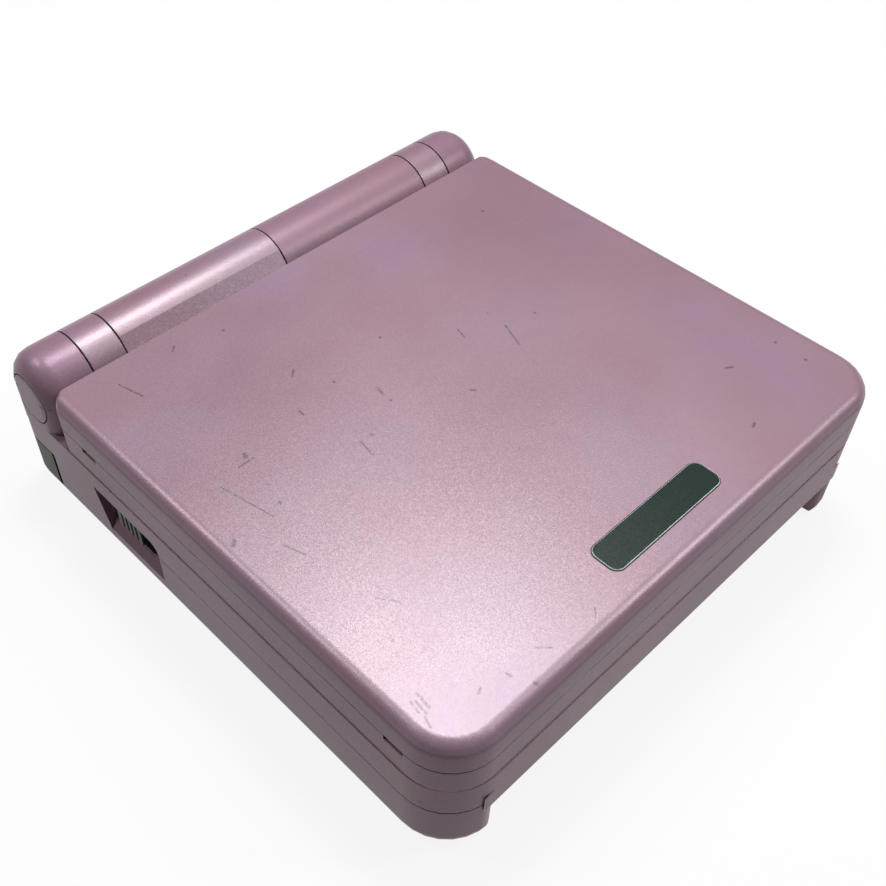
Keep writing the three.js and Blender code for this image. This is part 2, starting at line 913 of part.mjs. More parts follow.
// One end of the hinge barrel that stands on the base.
function hingeHousing(side) {
  const end = halfWidth;
  const straight = end - barrelEndFillet;
  const profile = [[collarInner, 0], [collarInner, barrelRadius], [straight, barrelRadius]];
  for (let step = 1; step <= filletSteps; step += 1) {
    const angle = (step / filletSteps) * (Math.PI / 2);
    profile.push([
      straight + barrelEndFillet * Math.sin(angle),
      barrelRadius - barrelEndFillet * (1 - Math.cos(angle)),
    ]);
  }
  profile.push([end, 0]);
  const mirrored = profile.map(([x, radius]) => [side * x, radius]);
  if (side < 0) mirrored.reverse();
  const barrel = turnedX(mirrored, axisY, axisZ);
  const outline = roundedOutline(
    collarInner,
    end,
    axisY - barrelRadius,
    halfDepth,
    barrelEndFillet,
    barrelEndFillet,
  ).map((point) => new THREE.Vector2(side * Math.max(point.x, collarInner), point.y));
  if (side < 0) outline.reverse();
  const standing = slab(outline, deckHeight - deckThickness, axisZ);
  return joined(barrel, standing);
}

function hingeBore(side) {
  const outer = side * (halfWidth - endPlugDepth - runningGap);
  const inner = side * (collarInner - cutOverrun);
  const x0 = Math.min(outer, inner);
  return rodX(barrelBore, x0, Math.max(outer, inner), axisY, axisZ, roundSides);
}

// The space that an end plug fills, grown by a gap.
function plugSpace(side, gap) {
  const inner = side * (halfWidth - endPlugDepth - gap);
  const outer = side * (halfWidth + cutOverrun);
  const z = axisZ - endPlugDrop;
  return rodX(endPlugRadius + gap, Math.min(inner, outer), Math.max(inner, outer), axisY, z);
}

function hingeEndPlug(side) {
  return hingeHousing(side).intersect(plugSpace(side, 0));
}

// The ring between the housing and the lid's barrel.
function hingeCollar(side) {
  const a = side * collarInner;
  const b = side * (housingInner - collarGap);
  const ring = rodX(barrelRadius, Math.min(a, b), Math.max(a, b), axisY, axisZ);
  return cut(ring, hingeBore(side));
}

function collarSpace(side) {
  const a = side * (collarInner - cutOverrun);
  const b = side * housingInner;
  return rodX(barrelRadius + seatGap, Math.min(a, b), Math.max(a, b), axisY, axisZ);
}

// The hinge pin that carries the lid on one side.
function hingePin(side, radius) {
  const outer = side * (halfWidth - endPlugDepth - runningGap * 2);
  const inner = side * cartridgeInner;
  return rodX(radius, Math.min(outer, inner), Math.max(outer, inner), axisY, axisZ, roundSides);
}

// A round button's hole in the deck.
function roundHole(x, y, radius) {
  return post(radius + buttonClearance, x, y, deckUnderside - cutOverrun, deckHeight + cutOverrun);
}

// A cross outline about a middle point.
function crossOutline(x, y, reach, arm) {
  const half = arm / 2;
  const steps = [
    [half, -reach],
    [half, -half],
    [reach, -half],
    [reach, half],
    [half, half],
    [half, reach],
    [-half, reach],
    [-half, half],
    [-reach, half],
    [-reach, -half],
    [-half, -half],
    [-half, -reach],
  ];
  return steps.map(([dx, dy]) => new THREE.Vector2(x + dx, y + dy));
}

function speakerGrille() {
  const first = speakerX - ((grilleSlots - 1) / 2) * grillePitch;
  return Array.from({ length: grilleSlots }, (_, i) => {
    const x = first + i * grillePitch;
    const away = Math.abs(x - speakerX) / speakerRadius;
    const half = (grilleSlotLength / 2) * Math.sqrt(1 - away * away);
    const wide = grilleSlotWidth / 2;
    const low = deckUnderside - cutOverrun;
    const high = deckHeight + cutOverrun;
    return block(x - wide, x + wide, speakerY - half, speakerY + half, low, high);
  });
}

function statusPlaces() {
  return [0, 1].map((i) => statusFirstY + i * statusPitch);
}

function baseUpperShell() {
  const outer = filletedBox(baseBox, upperBottom, deckHeight, 0, deckEdge);
  const cavity = loft([
    [insetOutline(baseBox, baseWall), upperBottom - cutOverrun],
    [insetOutline(baseBox, baseWall), deckUnderside],
  ]);
  const bossTop = deckHeight - deckThickness / 2;
  const bosses = bossPlaces.map(([x, y]) => post(bossRadius, x, y, upperBottom, bossTop));
  const boreTop = upperBottom + screwGrip + runningGap;
  const bores = bossPlaces.map(([x, y]) =>
    post(screwShaftRadius + runningGap, x, y, upperBottom - cutOverrun, boreTop, screwSides),
  );
  const ridge = block(
    -collarInner,
    collarInner,
    halfDepth - rearRidgeThickness,
    halfDepth,
    deckUnderside,
    deckHeight + rearRidgeRise,
  );
  const wallTop = deckUnderside + deckThickness / 2;
  const backing = [-1, 1].map((side) => recessWall(side, upperBottom, wallTop));
  const housings = [-1, 1].map(hingeHousing);
  const wholeBase = filletedBox(baseBox, 0, deckHeight, bottomFillet, deckEdge);
  const flanks = [-1, 1].map((side) => flankSpace(side, 0).intersect(wholeBase));
  const shell = joined(
    cut(outer, cavity),
    ...bosses,
    ridge,
    frontLip(),
    hingeTroughWall(),
    ...backing,
    ...flanks,
    ...housings,
  );
  const padWell = post(padWellRadius, padX, padY, deckHeight - padWellDepth, deckHeight + cutOverrun);
  const padHole = slab(
    crossOutline(padX, padY, padReach + padClearance, padArm + padClearance * 2),
    deckUnderside - cutOverrun,
    deckHeight + cutOverrun,
  );
  const lightBore = statusRadius + seatGap;
  const statusBores = statusPlaces().map((y) =>
    rodX(lightBore, halfWidth - baseWall * 2, halfWidth + cutOverrun, y, statusHeight, screwSides),
  );
  return cut(
    shell,
    ...bores,
    padWell,
    padHole,
    roundHole(...actionA, actionRadius),
    roundHole(...actionB, actionRadius),
    roundHole(-menuX, menuY, menuRadius),
    roundHole(menuX, menuY, menuRadius),
    roundHole(0, lightY, lightRadius),
    ...speakerGrille(),
    ...statusBores,
    sliderRecess(-1),
    sliderRecess(1),
    sliderWindow(-1),
    sliderWindow(1),
    hingeTrough(),
    collarSpace(-1),
    collarSpace(1),
    hingeBore(-1),
    hingeBore(1),
    plugSpace(-1, endPlugGap),
    plugSpace(1, endPlugGap),
  );
}

// The lip of the front wall that hangs down over the card slot's mouth.
function frontLip() {
  const between = slab(mouthOutline(seamGap), lipBottom, upperBottom + baseWall);
  const back = -halfDepth + baseWall;
  const wall = block(-halfWidth, halfWidth, -halfDepth, back, 0, deckHeight);
  return between.intersect(wall);
}

// The space in the deck in which the lid's barrel turns.
function hingeTrough() {
  const end = collarInner - seatGap / 2;
  return rodX(barrelRadius + runningGap, -end, end, axisY, axisZ);
}

// The wall under that space.
function hingeTroughWall() {
  const radius = barrelRadius + runningGap + troughWall;
  const round = rodX(radius, -collarInner, collarInner, axisY, axisZ);
  const back = halfDepth - baseWall / 2;
  return round.intersect(
    block(-collarInner, collarInner, axisY - radius, back, axisZ - radius, deckUnderside + seamGap),
  );
}

// A round button with a flange under the deck.
function roundButton(x, y, radius, rise) {
  const flangeTop = deckUnderside - seatGap;
  const flangeBottom = flangeTop - buttonFlange;
  const flange = radius + buttonClearance + buttonFlangeRim;
  const top = deckHeight + rise;
  return turnedZ(
    [
      [0, flangeBottom],
      [flange, flangeBottom],
      [flange, flangeTop],
      [radius, flangeTop],
      [radius, top - buttonCrown],
      [radius - buttonCrown, top - buttonCrown * crownEdgeShare],
      [radius / 2, top],
      [0, top],
    ],
    x,
    y,
  );
}

function directionPad() {
  const flangeTop = deckUnderside - padFlangeGap;
  const flangeBottom = flangeTop - padFlangeThickness;
  const reach = padReach + padFlangeRim;
  const wide = padArm + padFlangeRim * 2;
  const flange = slab(crossOutline(padX, padY, reach, wide), flangeBottom, flangeTop);
  const crossBottom = flangeTop - padFlangeThickness / 2;
  const cross = slab(crossOutline(padX, padY, padReach, padArm), crossBottom, deckHeight + buttonRise);
  const dish = turnedZ(
    [
      [0, deckHeight + buttonRise - padDish],
      [padDishRadius, deckHeight + buttonRise],
      [padDishRadius, deckHeight + buttonRise + cutOverrun],
      [0, deckHeight + buttonRise + cutOverrun],
    ],
    padX,
    padY,
  );
  return cut(joined(flange, cross), dish);
}

// The rocker that the pad tilts on.
function padPivot() {
  const bottom = membraneTop + seatGap;
  const top = deckUnderside - padFlangeGap - padFlangeThickness - seatGap;
  return turnedZ(
    [
      [0, bottom],
      [pivotRadius, bottom],
      [pivotRadius * pivotWaistShare, (bottom + top) / 2],
      [0, top],
    ],
    padX,
    padY,
    screwSides,
  );
}

// A thin contact sheet on the board under a group of buttons.
function contactSheet(left, right, front, back) {
  const margin = membraneMargin;
  const outline = roundedOutline(
    left - margin,
    right + margin,
    front - margin,
    back + margin,
    membraneRadius,
  );
  return slab(outline, boardTop + seatGap, membraneTop);
}

function mainBoard() {
  const left = -halfWidth + boardMargin;
  const right = halfWidth - boardMargin;
  const front = -halfDepth + boardMargin;
  const back = halfDepth - boardBackMargin;
  const board = slab(roundedOutline(left, right, front, back, boardRadius), boardHeight, boardTop);
  const chip = block(
    chipX - chipWidth / 2,
    chipX + chipWidth / 2,
    chipY - chipLength / 2,
    chipY + chipLength / 2,
    boardTop - boardThickness / 2,
    boardTop + chipRise,
  );
  const holes = bossPlaces.map(([x, y]) =>
    post(bossRadius + runningGap, x, y, boardHeight - cutOverrun, boardTop + cutOverrun),
  );
  return cut(joined(board, chip), ...holes);
}

function cardConnector() {
  const half = cardWidth / 2 - slotClearance;
  const back = slotBack - runningGap;
  const front = back - connectorDepth;
  const bottom = baseFloor + seatGap;
  const top = slotRoof - seatGap;
  const body = block(-half, half, front, back, bottom, top);
  const middle = (bottom + top) / 2;
  const groove = block(
    -half + slotWall * 2,
    half - slotWall * 2,
    front - cutOverrun,
    back - connectorGroove,
    middle - connectorGrooveHeight / 2,
    middle + connectorGrooveHeight / 2,
  );
  return cut(body, groove);
}

function speaker() {
  const bottom = boardTop + seatGap;
  const top = bottom + speakerHeight;
  return turnedZ(
    [
      [0, bottom],
      [speakerRadius - speakerRim, bottom],
      [speakerRadius - speakerRim, top - speakerRimHeight],
      [speakerRadius, top - speakerRimHeight],
      [speakerRadius, top],
      [speakerRadius - speakerRim, top],
      [speakerRadius * speakerDomeShare, top - speakerRimHeight],
      [0, top - speakerRimHeight],
    ],
    speakerX,
    speakerY,
  );
}

// A slider: a ribbed knob in the recess and a flange behind the wall.
function slider(side) {
  const middle = (recessFront + recessBack) / 2;
  const face = halfWidth - recessSink + sliderProud;
  const wallInside = halfWidth - recessSink - recessBacking;
  const flangeOuter = wallInside - seatGap;
  const flangeInner = flangeOuter - sliderFlangeThickness;
  const halfKnob = sliderLength / 2;
  const halfFlange = sliderFlangeLength / 2;
  const alongX = (a, b) => [Math.min(side * a, side * b), Math.max(side * a, side * b)];
  const knobX = alongX(flangeInner, face);
  const knob = block(...knobX, middle - halfKnob, middle + halfKnob, sliderBottom, sliderTop);
  const flange = block(
    ...alongX(flangeInner, flangeOuter),
    middle - halfFlange,
    middle + halfFlange,
    sliderBottom - sliderFlangeDrop,
    sliderTop + sliderFlangeRise,
  );
  const pitch = sliderLength / (sliderRibs + 1);
  const grooves = Array.from({ length: sliderRibs }, (_, i) => {
    const y = middle - halfKnob + pitch * (i + 1);
    const x = alongX(face - ribDepth, face + cutOverrun);
    const low = sliderBottom - cutOverrun;
    return block(...x, y - ribWidth / 2, y + ribWidth / 2, low, sliderTop + cutOverrun);
  });
  return cut(joined(knob, flange), ...grooves);
}

function statusLight(y) {
  const inner = halfWidth - statusLength;
  return rodX(statusRadius, inner, halfWidth - seatGap, y, statusHeight, screwSides);
}

// A shoulder button that wraps round its back corner and swings on a pin.
function shoulderButton(side) {
  const whole = filletedBox(baseBox, 0, lowerTop + cutOverrun, bottomFillet, 0);
  const corner = shoulderCorner(side, 0, shoulderFront, shoulderBottom, shoulderTop);
  const inner = loft([
    [insetOutline(baseBox, shoulderWall), -cutOverrun],
    [insetOutline(baseBox, shoulderWall), lowerTop + cutOverrun * 2],
  ]);
  const skin = cut(whole.intersect(corner), inner);
  const x = side * shoulderPinX;
  const lug = post(shoulderLug, x, shoulderPinY, shoulderBottom + seamGap, shoulderTop - seamGap);
  const arm = block(
    x - shoulderLug,
    x + shoulderLug,
    shoulderPinY,
    halfDepth - shoulderWall / 2,
    shoulderBottom + seamGap,
    shoulderTop - seamGap,
  );
  const bore = post(
    shoulderPinRadius + seatGap,
    x,
    shoulderPinY,
    shoulderBottom - cutOverrun,
    shoulderTop + cutOverrun,
    screwSides,
  );
  return cut(joined(skin, lug, arm), bore);
}

function shoulderPin(side) {
  const top = lowerTop - seatGap;
  const bottom = baseFloor + seatGap;
  return post(shoulderPinRadius, side * shoulderPinX, shoulderPinY, bottom, top, screwSides);
}

// The half of the hinge barrel between two ends.
function lidBarrel(x0, x1) {
  return rodX(barrelRadius, x0, x1, axisY, axisZ);
}

function lidBarrelBore() {
  const end = collarInner + cutOverrun;
  return rodX(barrelBore, -end, end, axisY, axisZ, roundSides);
}

// A point on the barrel's surface at an angle above the +Y direction.
function onBarrel(angle) {
  return [axisY + barrelRadius * Math.cos(angle), axisZ + barrelRadius * Math.sin(angle)];
}

// The web that joins the lid's back wall to its half of the barrel, under a groove.
function lidWeb(x0, x1) {
  const web = [
    [lidBack - lidWall, outerBottom],
    [axisY - barrelRadius / 2, outerBottom],
    [axisY, axisZ],
    onBarrel(facetLowerAngle),
    [lidBack, lidTopHeight - lidFillet],
    [lidBack - lidWall, lidTopHeight - lidFillet],
  ];
  return barX(web, x0, x1);
}

// The sliver taken off the barrel's round to leave a flat facet that faces the lid.
function facetCut(x0, x1) {
  const upper = onBarrel(facetUpperAngle);
  const lower = onBarrel(facetLowerAngle);
  const facing = (facetUpperAngle + facetLowerAngle) / 2;
  const away = ([y, z]) => [
    y + facetCutHeight * Math.cos(facing),
    z + facetCutHeight * Math.sin(facing),
  ];
  return barX([lower, upper, away(upper), away(lower)], x0, x1);
}

function lidOuterShell() {
  const outer = filletedBox(lidBox, outerBottom, lidTopHeight, 0, lidFillet, lidBackFilletShare);
  const cavity = loft([
    [insetOutline(lidBox, lidWall), outerBottom - cutOverrun],
    [insetOutline(lidBox, lidWall), lidTopHeight - lidFillet],
    [insetOutline(lidBox, lidWall + lidFillet / 2), lidTopHeight - lidTopThickness],
  ]);
  const left = -collarInner + collarGap;
  const right = midSeamX - seamGap / 2;
  const bosses = lidScrewPlaces.map(([x, y]) =>
    post(lidScrewHeadRadius, x, y, plateTop + seatGap, lidTopHeight - lidTopThickness / 2),
  );
  const shaftBore = screwShaftRadius + seatGap;
  const bores = lidScrewPlaces.map(([x, y]) =>
    post(shaftBore, x, y, outerBottom - cutOverrun, lidScrewTop() + seatGap, screwSides),
  );
  const pocket = slab(plateOutline(seatGap), lidTopHeight - plateThickness, lidTopHeight + cutOverrun);
  const shell = joined(cut(outer, cavity), ...bosses, lidWeb(left, right), lidBarrel(left, right));
  return cut(shell, ...bores, pocket, facetCut(left - cutOverrun, right), lidBarrelBore());
}

function lidInnerShell() {
  const outer = filletedBox(lidBox, lidBottom, innerTop, deckEdge, 0);
  const hollow = loft([
    [insetOutline(lidBox, lidWall), plateTop],
    [insetOutline(lidBox, lidWall), innerTop + cutOverrun],
  ]);
  const recess = loft([
    [insetOutline(lidBox, lidRim), lidBottom - cutOverrun],
    [insetOutline(lidBox, lidRim), innerFace],
  ]);
  const padLands = lidScrewPlaces.map(([x, y]) =>
    post(rubberRadius + lidWall / 2, x, y, lidBottom, innerFace + innerPlate / 2),
  );
  const x0 = midSeamX + seamGap / 2;
  const x1 = collarInner - collarGap;
  const web = barX(
    [
      [lidBack - lidWall * 2, lidBottom],
      [axisY - barrelRadius / 2, lidBottom + seamGap],
      [axisY, axisZ],
      [axisY - barrelRadius / 2, innerTop],
      [lidBack - lidWall * 2, innerTop],
    ],
    x0,
    x1,
  );
  const halfWindow = windowWidth / 2;
  const halfLength = windowLength / 2;
  const window = block(
    -halfWindow,
    halfWindow,
    screenY - halfLength,
    screenY + halfLength,
    innerFace - cutOverrun,
    plateTop + cutOverrun,
  );
  const seatTop = innerFace + lensThickness + seatGap;
  const lensSeat = slab(lensOutline(seatGap), innerFace - cutOverrun, seatTop);
  const pads = lidScrewPlaces.map(([x, y]) =>
    post(rubberRadius + seatGap, x, y, lidBottom - cutOverrun, lidBottom + rubberThickness, roundSides),
  );
  const bores = lidScrewPlaces.flatMap(([x, y]) => [
    post(lidScrewHeadRadius + seatGap, x, y, lidBottom - cutOverrun, lidScrewSeat(), screwSides),
    post(screwShaftRadius + seatGap, x, y, lidBottom - cutOverrun, plateTop + cutOverrun, screwSides),
  ]);
  const sides = [-1, 1];
  const latches = sides.flatMap((side) =>
    [latchFrontY, latchBackY].map((y) => {
      const outerX = side * (lidHalfWidth + cutOverrun);
      const innerX = side * (lidHalfWidth - latchDepth);
      const left = Math.min(outerX, innerX);
      const right = Math.max(outerX, innerX);
      const low = innerTop - latchHeight;
      const half = latchLength / 2;
      return block(left, right, y - half, y + half, low, innerTop + cutOverrun);
    }),
  );
  const shell = joined(cut(outer, hollow, recess), ...padLands, web, lidBarrel(x0, x1));
  return cut(shell, window, lensSeat, ...pads, ...bores, ...latches, lidBarrelBore());
}

// The face under a lid screw's head, above its rubber pad.
function lidScrewSeat() {
  return lidBottom + rubberThickness + screwHeadThickness + seatGap;
}

function lidScrewTop() {
  return lidScrewSeat() + lidScrewLength;
}

function rubberPad(x, y) {
  return turnedZ(
    [
      [0, lidBottom - rubberProud],
      [rubberRadius - rubberProud, lidBottom - rubberProud],
      [rubberRadius, lidBottom],
      [rubberRadius, lidBottom + rubberThickness - seatGap],
      [0, lidBottom + rubberThickness - seatGap],
    ],
    x,
    y,
  );
}

function lensOutline(gap) {
  const halfX = windowWidth / 2 + lensMargin + gap;
  const halfY = windowLength / 2 + lensMargin + gap;
  return roundedOutline(-halfX, halfX, screenY - halfY, screenY + halfY, lensRadius + gap);
}

function screenLens() {
  return slab(lensOutline(0), innerFace, innerFace + lensThickness);
}

// A thin sheet of the screen stack over the window.
function screenSheet(margin, bottom, thickness) {
  const halfX = windowWidth / 2 + margin;
  const halfY = windowLength / 2 + margin;
  return block(-halfX, halfX, screenY - halfY, screenY + halfY, bottom, bottom + thickness);
}

function plateOutline(gap) {
  const halfX = plateWidth / 2 + gap;
  const halfY = plateLength / 2 + gap;
  return roundedOutline(-halfX, halfX, plateY - halfY, plateY + halfY, plateRadius + gap);
}

function nameplate() {
  const box = {
    left: -plateWidth / 2,
    right: plateWidth / 2,
    front: plateY - plateLength / 2,
    back: plateY + plateLength / 2,
    frontRadius: plateRadius,
    backRadius: plateRadius,
  };
  const bottom = lidTopHeight - plateThickness + seatGap;
  return filletedBox(box, bottom, lidTopHeight + plateProud, 0, plateEdge);
}

const console3d = new THREE.Group();
const base = new THREE.Group();
const lid = new THREE.Group();
console3d.add(base, lid);

function add(group, name, body, material) {
  const mesh = new THREE.Mesh(geometryOf(body), material);
  mesh.name = name;
  group.add(mesh);
}

const sides = { left: -1, right: 1 };

add(base, 'base_lower_shell', baseLowerShell(), pearlPaint);
add(base, 'base_upper_shell', baseUpperShell(), pearlPaint);
for (const [name, side] of Object.entries(sides)) {
  add(base, `hinge_end_plug_${name}`, hingeEndPlug(side), pearlPaint);
  add(base, `hinge_collar_${name}`, hingeCollar(side), pearlPaint);
  add(base, `shoulder_button_${name}`, shoulderButton(side), smokedPlastic);
  add(base, `shoulder_pin_${name}`, shoulderPin(side), screwSteel);
}
add(base, 'hinge_spring_cartridge', hingePin(-1, barrelBore - runningGap), screwSteel);
add(base, 'hinge_pin', hingePin(1, barrelBore - runningGap), screwSteel);
add(base, 'battery_cover', batteryCover(), pearlPaint);
const coverScrewTop = lowerTop - slotRoofThickness - runningGap;
const coverScrew = screw(0, coverScrewY(), 0, screwHeadRadius, coverScrewTop);
add(base, 'battery_cover_screw', coverScrew, screwSteel);
add(base, 'battery_pack', batteryPack(), batteryWrap);
bossPlaces.forEach(([x, y], i) => {
  const body = screw(x, y, screwHeadSink - seatGap, screwHeadRadius, upperBottom + screwGrip);
  add(base, `base_screw_${i + 1}`, body, screwSteel);
});
add(base, 'main_board', mainBoard(), boardGreen);
add(base, 'card_connector', cardConnector(), blackPlastic);
add(base, 'speaker', speaker(), blackPlastic);
add(base, 'link_port', port(0, linkWidth, linkHeight), screwSteel);
add(base, 'charge_port', port(chargeX, chargeWidth, chargeHeight), screwSteel);
add(base, 'volume_slider', slider(-1), blackPlastic);
add(base, 'power_switch', slider(1), blackPlastic);
statusPlaces().forEach((y, i) => add(base, `status_light_${i + 1}`, statusLight(y), lightPipe));
add(base, 'direction_pad', directionPad(), greyPlastic);
add(base, 'direction_pad_pivot', padPivot(), greyPlastic);
add(base, 'a_button', roundButton(...actionA, actionRadius, buttonRise), greyPlastic);
add(base, 'b_button', roundButton(...actionB, actionRadius, buttonRise), greyPlastic);
add(base, 'select_button', roundButton(-menuX, menuY, menuRadius, buttonRise), greyPlastic);
add(base, 'start_button', roundButton(menuX, menuY, menuRadius, buttonRise), greyPlastic);
add(base, 'light_button', roundButton(0, lightY, lightRadius, lightRise), greyPlastic);
const padSheet = contactSheet(padX - padReach, padX + padReach, padY - padReach, padY + padReach);
add(base, 'direction_pad_membrane', padSheet, greySilicone);
const actionSheet = contactSheet(
  actionB[0] - actionRadius,
  actionA[0] + actionRadius,
  actionB[1] - actionRadius,
  actionA[1] + actionRadius,
);
add(base, 'action_membrane', actionSheet, greySilicone);
const menuReach = menuX + menuRadius;
const menuSheet = contactSheet(-menuReach, menuReach, menuY - menuRadius, menuY + menuRadius);
add(base, 'menu_membrane', menuSheet, greySilicone);

add(lid, 'lid_outer_shell', lidOuterShell(), pearlPaint);
add(lid, 'lid_inner_shell', lidInnerShell(), pearlPaint);
add(lid, 'screen_lens', screenLens(), glassClear);
const guideBottom = plateTop + seatGap;
add(lid, 'light_guide', screenSheet(guideMargin, guideBottom, guideThickness), lightPipe);
const panelBottom = guideBottom + guideThickness + seatGap;
add(lid, 'lcd_panel', screenSheet(panelMargin, panelBottom, panelThickness), panelGlass);
add(lid, 'nameplate', nameplate(), darkPlate);
lidScrewPlaces.forEach(([x, y], i) => {
  const headBottom = lidScrewSeat() - screwHeadThickness - seatGap / 2;
  const body = screw(x, y, headBottom, lidScrewHeadRadius, lidScrewTop());
  add(lid, `lid_screw_${i + 1}`, body, screwSteel);
  add(lid, `screw_cover_${i + 1}`, rubberPad(x, y), greySilicone);
});

export default console3d;
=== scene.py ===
import math

import bmesh
import bpy
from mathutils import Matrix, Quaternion, Vector


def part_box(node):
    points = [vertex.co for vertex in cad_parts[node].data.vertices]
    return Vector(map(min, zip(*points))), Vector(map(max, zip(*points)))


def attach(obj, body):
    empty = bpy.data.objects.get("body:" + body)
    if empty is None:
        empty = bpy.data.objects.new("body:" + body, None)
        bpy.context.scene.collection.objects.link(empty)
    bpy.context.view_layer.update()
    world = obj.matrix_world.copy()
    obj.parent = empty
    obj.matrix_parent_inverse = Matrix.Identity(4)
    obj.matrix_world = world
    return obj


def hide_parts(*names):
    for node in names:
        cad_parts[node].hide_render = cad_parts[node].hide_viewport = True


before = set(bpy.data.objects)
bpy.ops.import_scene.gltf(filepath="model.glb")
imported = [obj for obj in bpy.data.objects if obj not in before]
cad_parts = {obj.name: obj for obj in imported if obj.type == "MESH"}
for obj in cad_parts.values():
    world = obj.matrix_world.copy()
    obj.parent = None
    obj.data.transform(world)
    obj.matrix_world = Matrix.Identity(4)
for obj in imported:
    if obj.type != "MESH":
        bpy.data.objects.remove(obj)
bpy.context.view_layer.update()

bl_info = {
    "name": "Folding handheld console",
    "version": (1, 0, 0),
    "blender": (4, 5, 0),
    "location": "View3D > Sidebar > Console",
    "description": "Dresses the packed console with smooth shells, finishes and a stage",
    "category": "Object",
}

MM = 0.001

# Joining of flat faces, and the crest (y, z) where the barrel's facet meets its round
WELD = 0.002 * MM
FLAT_ANGLE = math.radians(0.5)
CREST_LINE = (33.306 * MM, 23.252 * MM)
CREST_REACH = 0.15 * MM
PLATE_CREASE = math.radians(20)

# The border printed on the lens
BORDER_INSET = 0.3 * MM
BORDER_WIDTH = 4.4 * MM
PRINT_LIFT = 0.04 * MM

# How far up a face looks: below this the lid's side begins, between these the plate's chamfer
SIDE_FACING = 0.3
RIM_LOW = 0.15
RIM_HIGH = 0.93

# Places of a colour mix's sockets among all of a Mix node's
MIX_SHARE, MIX_LOW, MIX_HIGH, MIX_COLOUR = 0, 6, 7, 2

# Effects
MIDDLE = (0.5, 0.5, 0.5)
EDGE_SAMPLES = 6
EDGE_FLAT = 0.97
EDGE_SHARP = 0.80
HAIRLINES = ((0.5, 34.0, 0.13), (2.1, 46.0, 3.7), (1.2, 27.0, 8.2))
HAIRLINE_LEAN = 0.3
HAIRLINE_TIP = 0.1
HAIRLINE_RANGE = (0.66, 0.70)
SCUFF_RAGGED = 1400.0
SCUFF_SHAKE = 0.16 * MM
SCUFF_CORE = 0.35
SCUFF_BREAKS = 2600.0
SCUFF_BREAK_RANGE = (0.33, 0.45)
SCUFF_STRETCH = 1.3
SPECKS = 420.0
SPECK_REACH = (0.13, 0.06)
SPECK_CHANCE = (0.955, 0.96)
CLOUD_RANGE = (0.3, 0.7)

# Pearl paint
PATCHES = 55.0
PATCH_RANGE = (0.4, 0.65)
PATCH_SHARE = 0.6
FLAKE_SHARE = 0.45
FLAKE_TILT = 0.1
TONE_RANGE = (0.42, 0.62)
LINE_SHOW = 0.03
SPECK_SHOW = 0.85
SCUFF_SHOW = 0.92
RUB_SCALE = 210.0
RUB_RANGE = (0.52, 0.66)
PAINT_ROUGH = (0.33, 0.41)
WORN_ROUGH = 0.15
COAT_SHARE = 0.12
COAT_ON_EDGES = 0.7
PEEL_SCALE = 900.0
PEEL_SHARE = 0.12
PEEL_DEPTH = 0.02 * MM

# Bare plastic, steel and the nameplate
# EDGE_SHINE, SHINE_TIMES and SHINE_BY paint a highlight: bare plastic's edges lighter in its colour
EDGE_SHINE = 0.35
LIGHTER_BY = 0.004
SHINE_TIMES = 1.6
SHINE_BY = 0.008
MOULDED_ROUGH_SWING = 0.05
LINE_ROUGH = 0.12
TARNISH = 0.72
STEEL_ROUND = 0.08 * MM
STEEL_LINE_ROUGH = 0.1
STEEL_LINE_DEPTH = 0.004 * MM
PLATE_ROUND = 0.06 * MM
PLATE_FLAKE_SHARE = 0.5
PLATE_DARK = 0.8
PLATE_LIGHT = 1.35
PLATE_LINE_ROUGH = 0.15
CLEAR_DARK = 0.94
TRACK_LIGHT = 1.5
TRACK_DARK = 0.6
TRACK_DEPTH = 0.02 * MM

# Stage
FLOOR_HALF = 1.6
FLOOR_WHITE = 0.88
SKY_COLOUR = (0.97, 0.98, 1.0, 1)
AIM = (0, 0, 0.01)
SENSOR_WIDTH = 36.0
NEAREST = 0.005


# Sizes and colours a user may change


def colour(name, description, value):
    """A colour property."""
    return bpy.props.FloatVectorProperty(
        name=name, description=description, subtype="COLOR", size=3, min=0, max=1, default=value
    )


def length(name, description, value):
    """A length property in metres."""
    return bpy.props.FloatProperty(
        name=name, description=description, unit="LENGTH", precision=5, min=0, default=value
    )


class ConsoleSizes(bpy.types.PropertyGroup):
    """Sizes of the fine detail."""

    edge_round: length("Edge rounding", "Radius that softens every moulded edge", 0.16 * MM)
    flake_size: length("Flake size", "Width of one flake in the pearl paint", 0.085 * MM)
    grain_size: length("Grain size", "Width of the spark-eroded grain on bare plastic", 0.22 * MM)
    crease_angle: bpy.props.FloatProperty(
        name="Crease angle",
        description="Edges turning more than this stay crisp",
        subtype="ANGLE",
        default=math.radians(31),
    )


class ConsoleColours(bpy.types.PropertyGroup):
    """Colours of the finishes."""

    pearl: colour("Pearl pink", "Paint of the shells", (0.183, 0.109, 0.139))
    lilac: colour("Lilac cast", "Cooler patches in the paint", (0.182, 0.124, 0.176))
    pearl_deep: colour("Deep pearl", "Paint between the flakes", (0.130, 0.070, 0.093))
    bare: colour("Bare edge", "Paint rubbed thin on edges", (0.42, 0.32, 0.35))
    scuff: colour("Scuff", "Dark marks on the paint", (0.07, 0.04, 0.05))
    smoke: colour("Smoked plastic", "Shoulder buttons", (0.017, 0.023, 0.010))
    plate: colour("Nameplate", "Enamel of the nameplate", (0.006, 0.014, 0.0105))
    plate_rim: colour("Nameplate rim", "Chamfer round the nameplate", (0.36, 0.42, 0.39))
    key: colour("Keys", "Pad and buttons", (0.175, 0.175, 0.187))
    dark: colour("Dark plastic", "Sliders and sockets", (0.012, 0.014, 0.012))
    rubber: colour("Silicone", "Membranes and screw covers", (0.19, 0.185, 0.19))
    metal: colour("Steel", "Pins and screws", (0.36, 0.36, 0.37))
    board: colour("Board", "Solder mask of the board", (0.02, 0.13, 0.06))
    wrap: colour("Battery wrap", "Sleeve of the battery", (0.13, 0.14, 0.17))
    floor: colour("Floor", "Pale floor", (0.45, 0.45, 0.45))


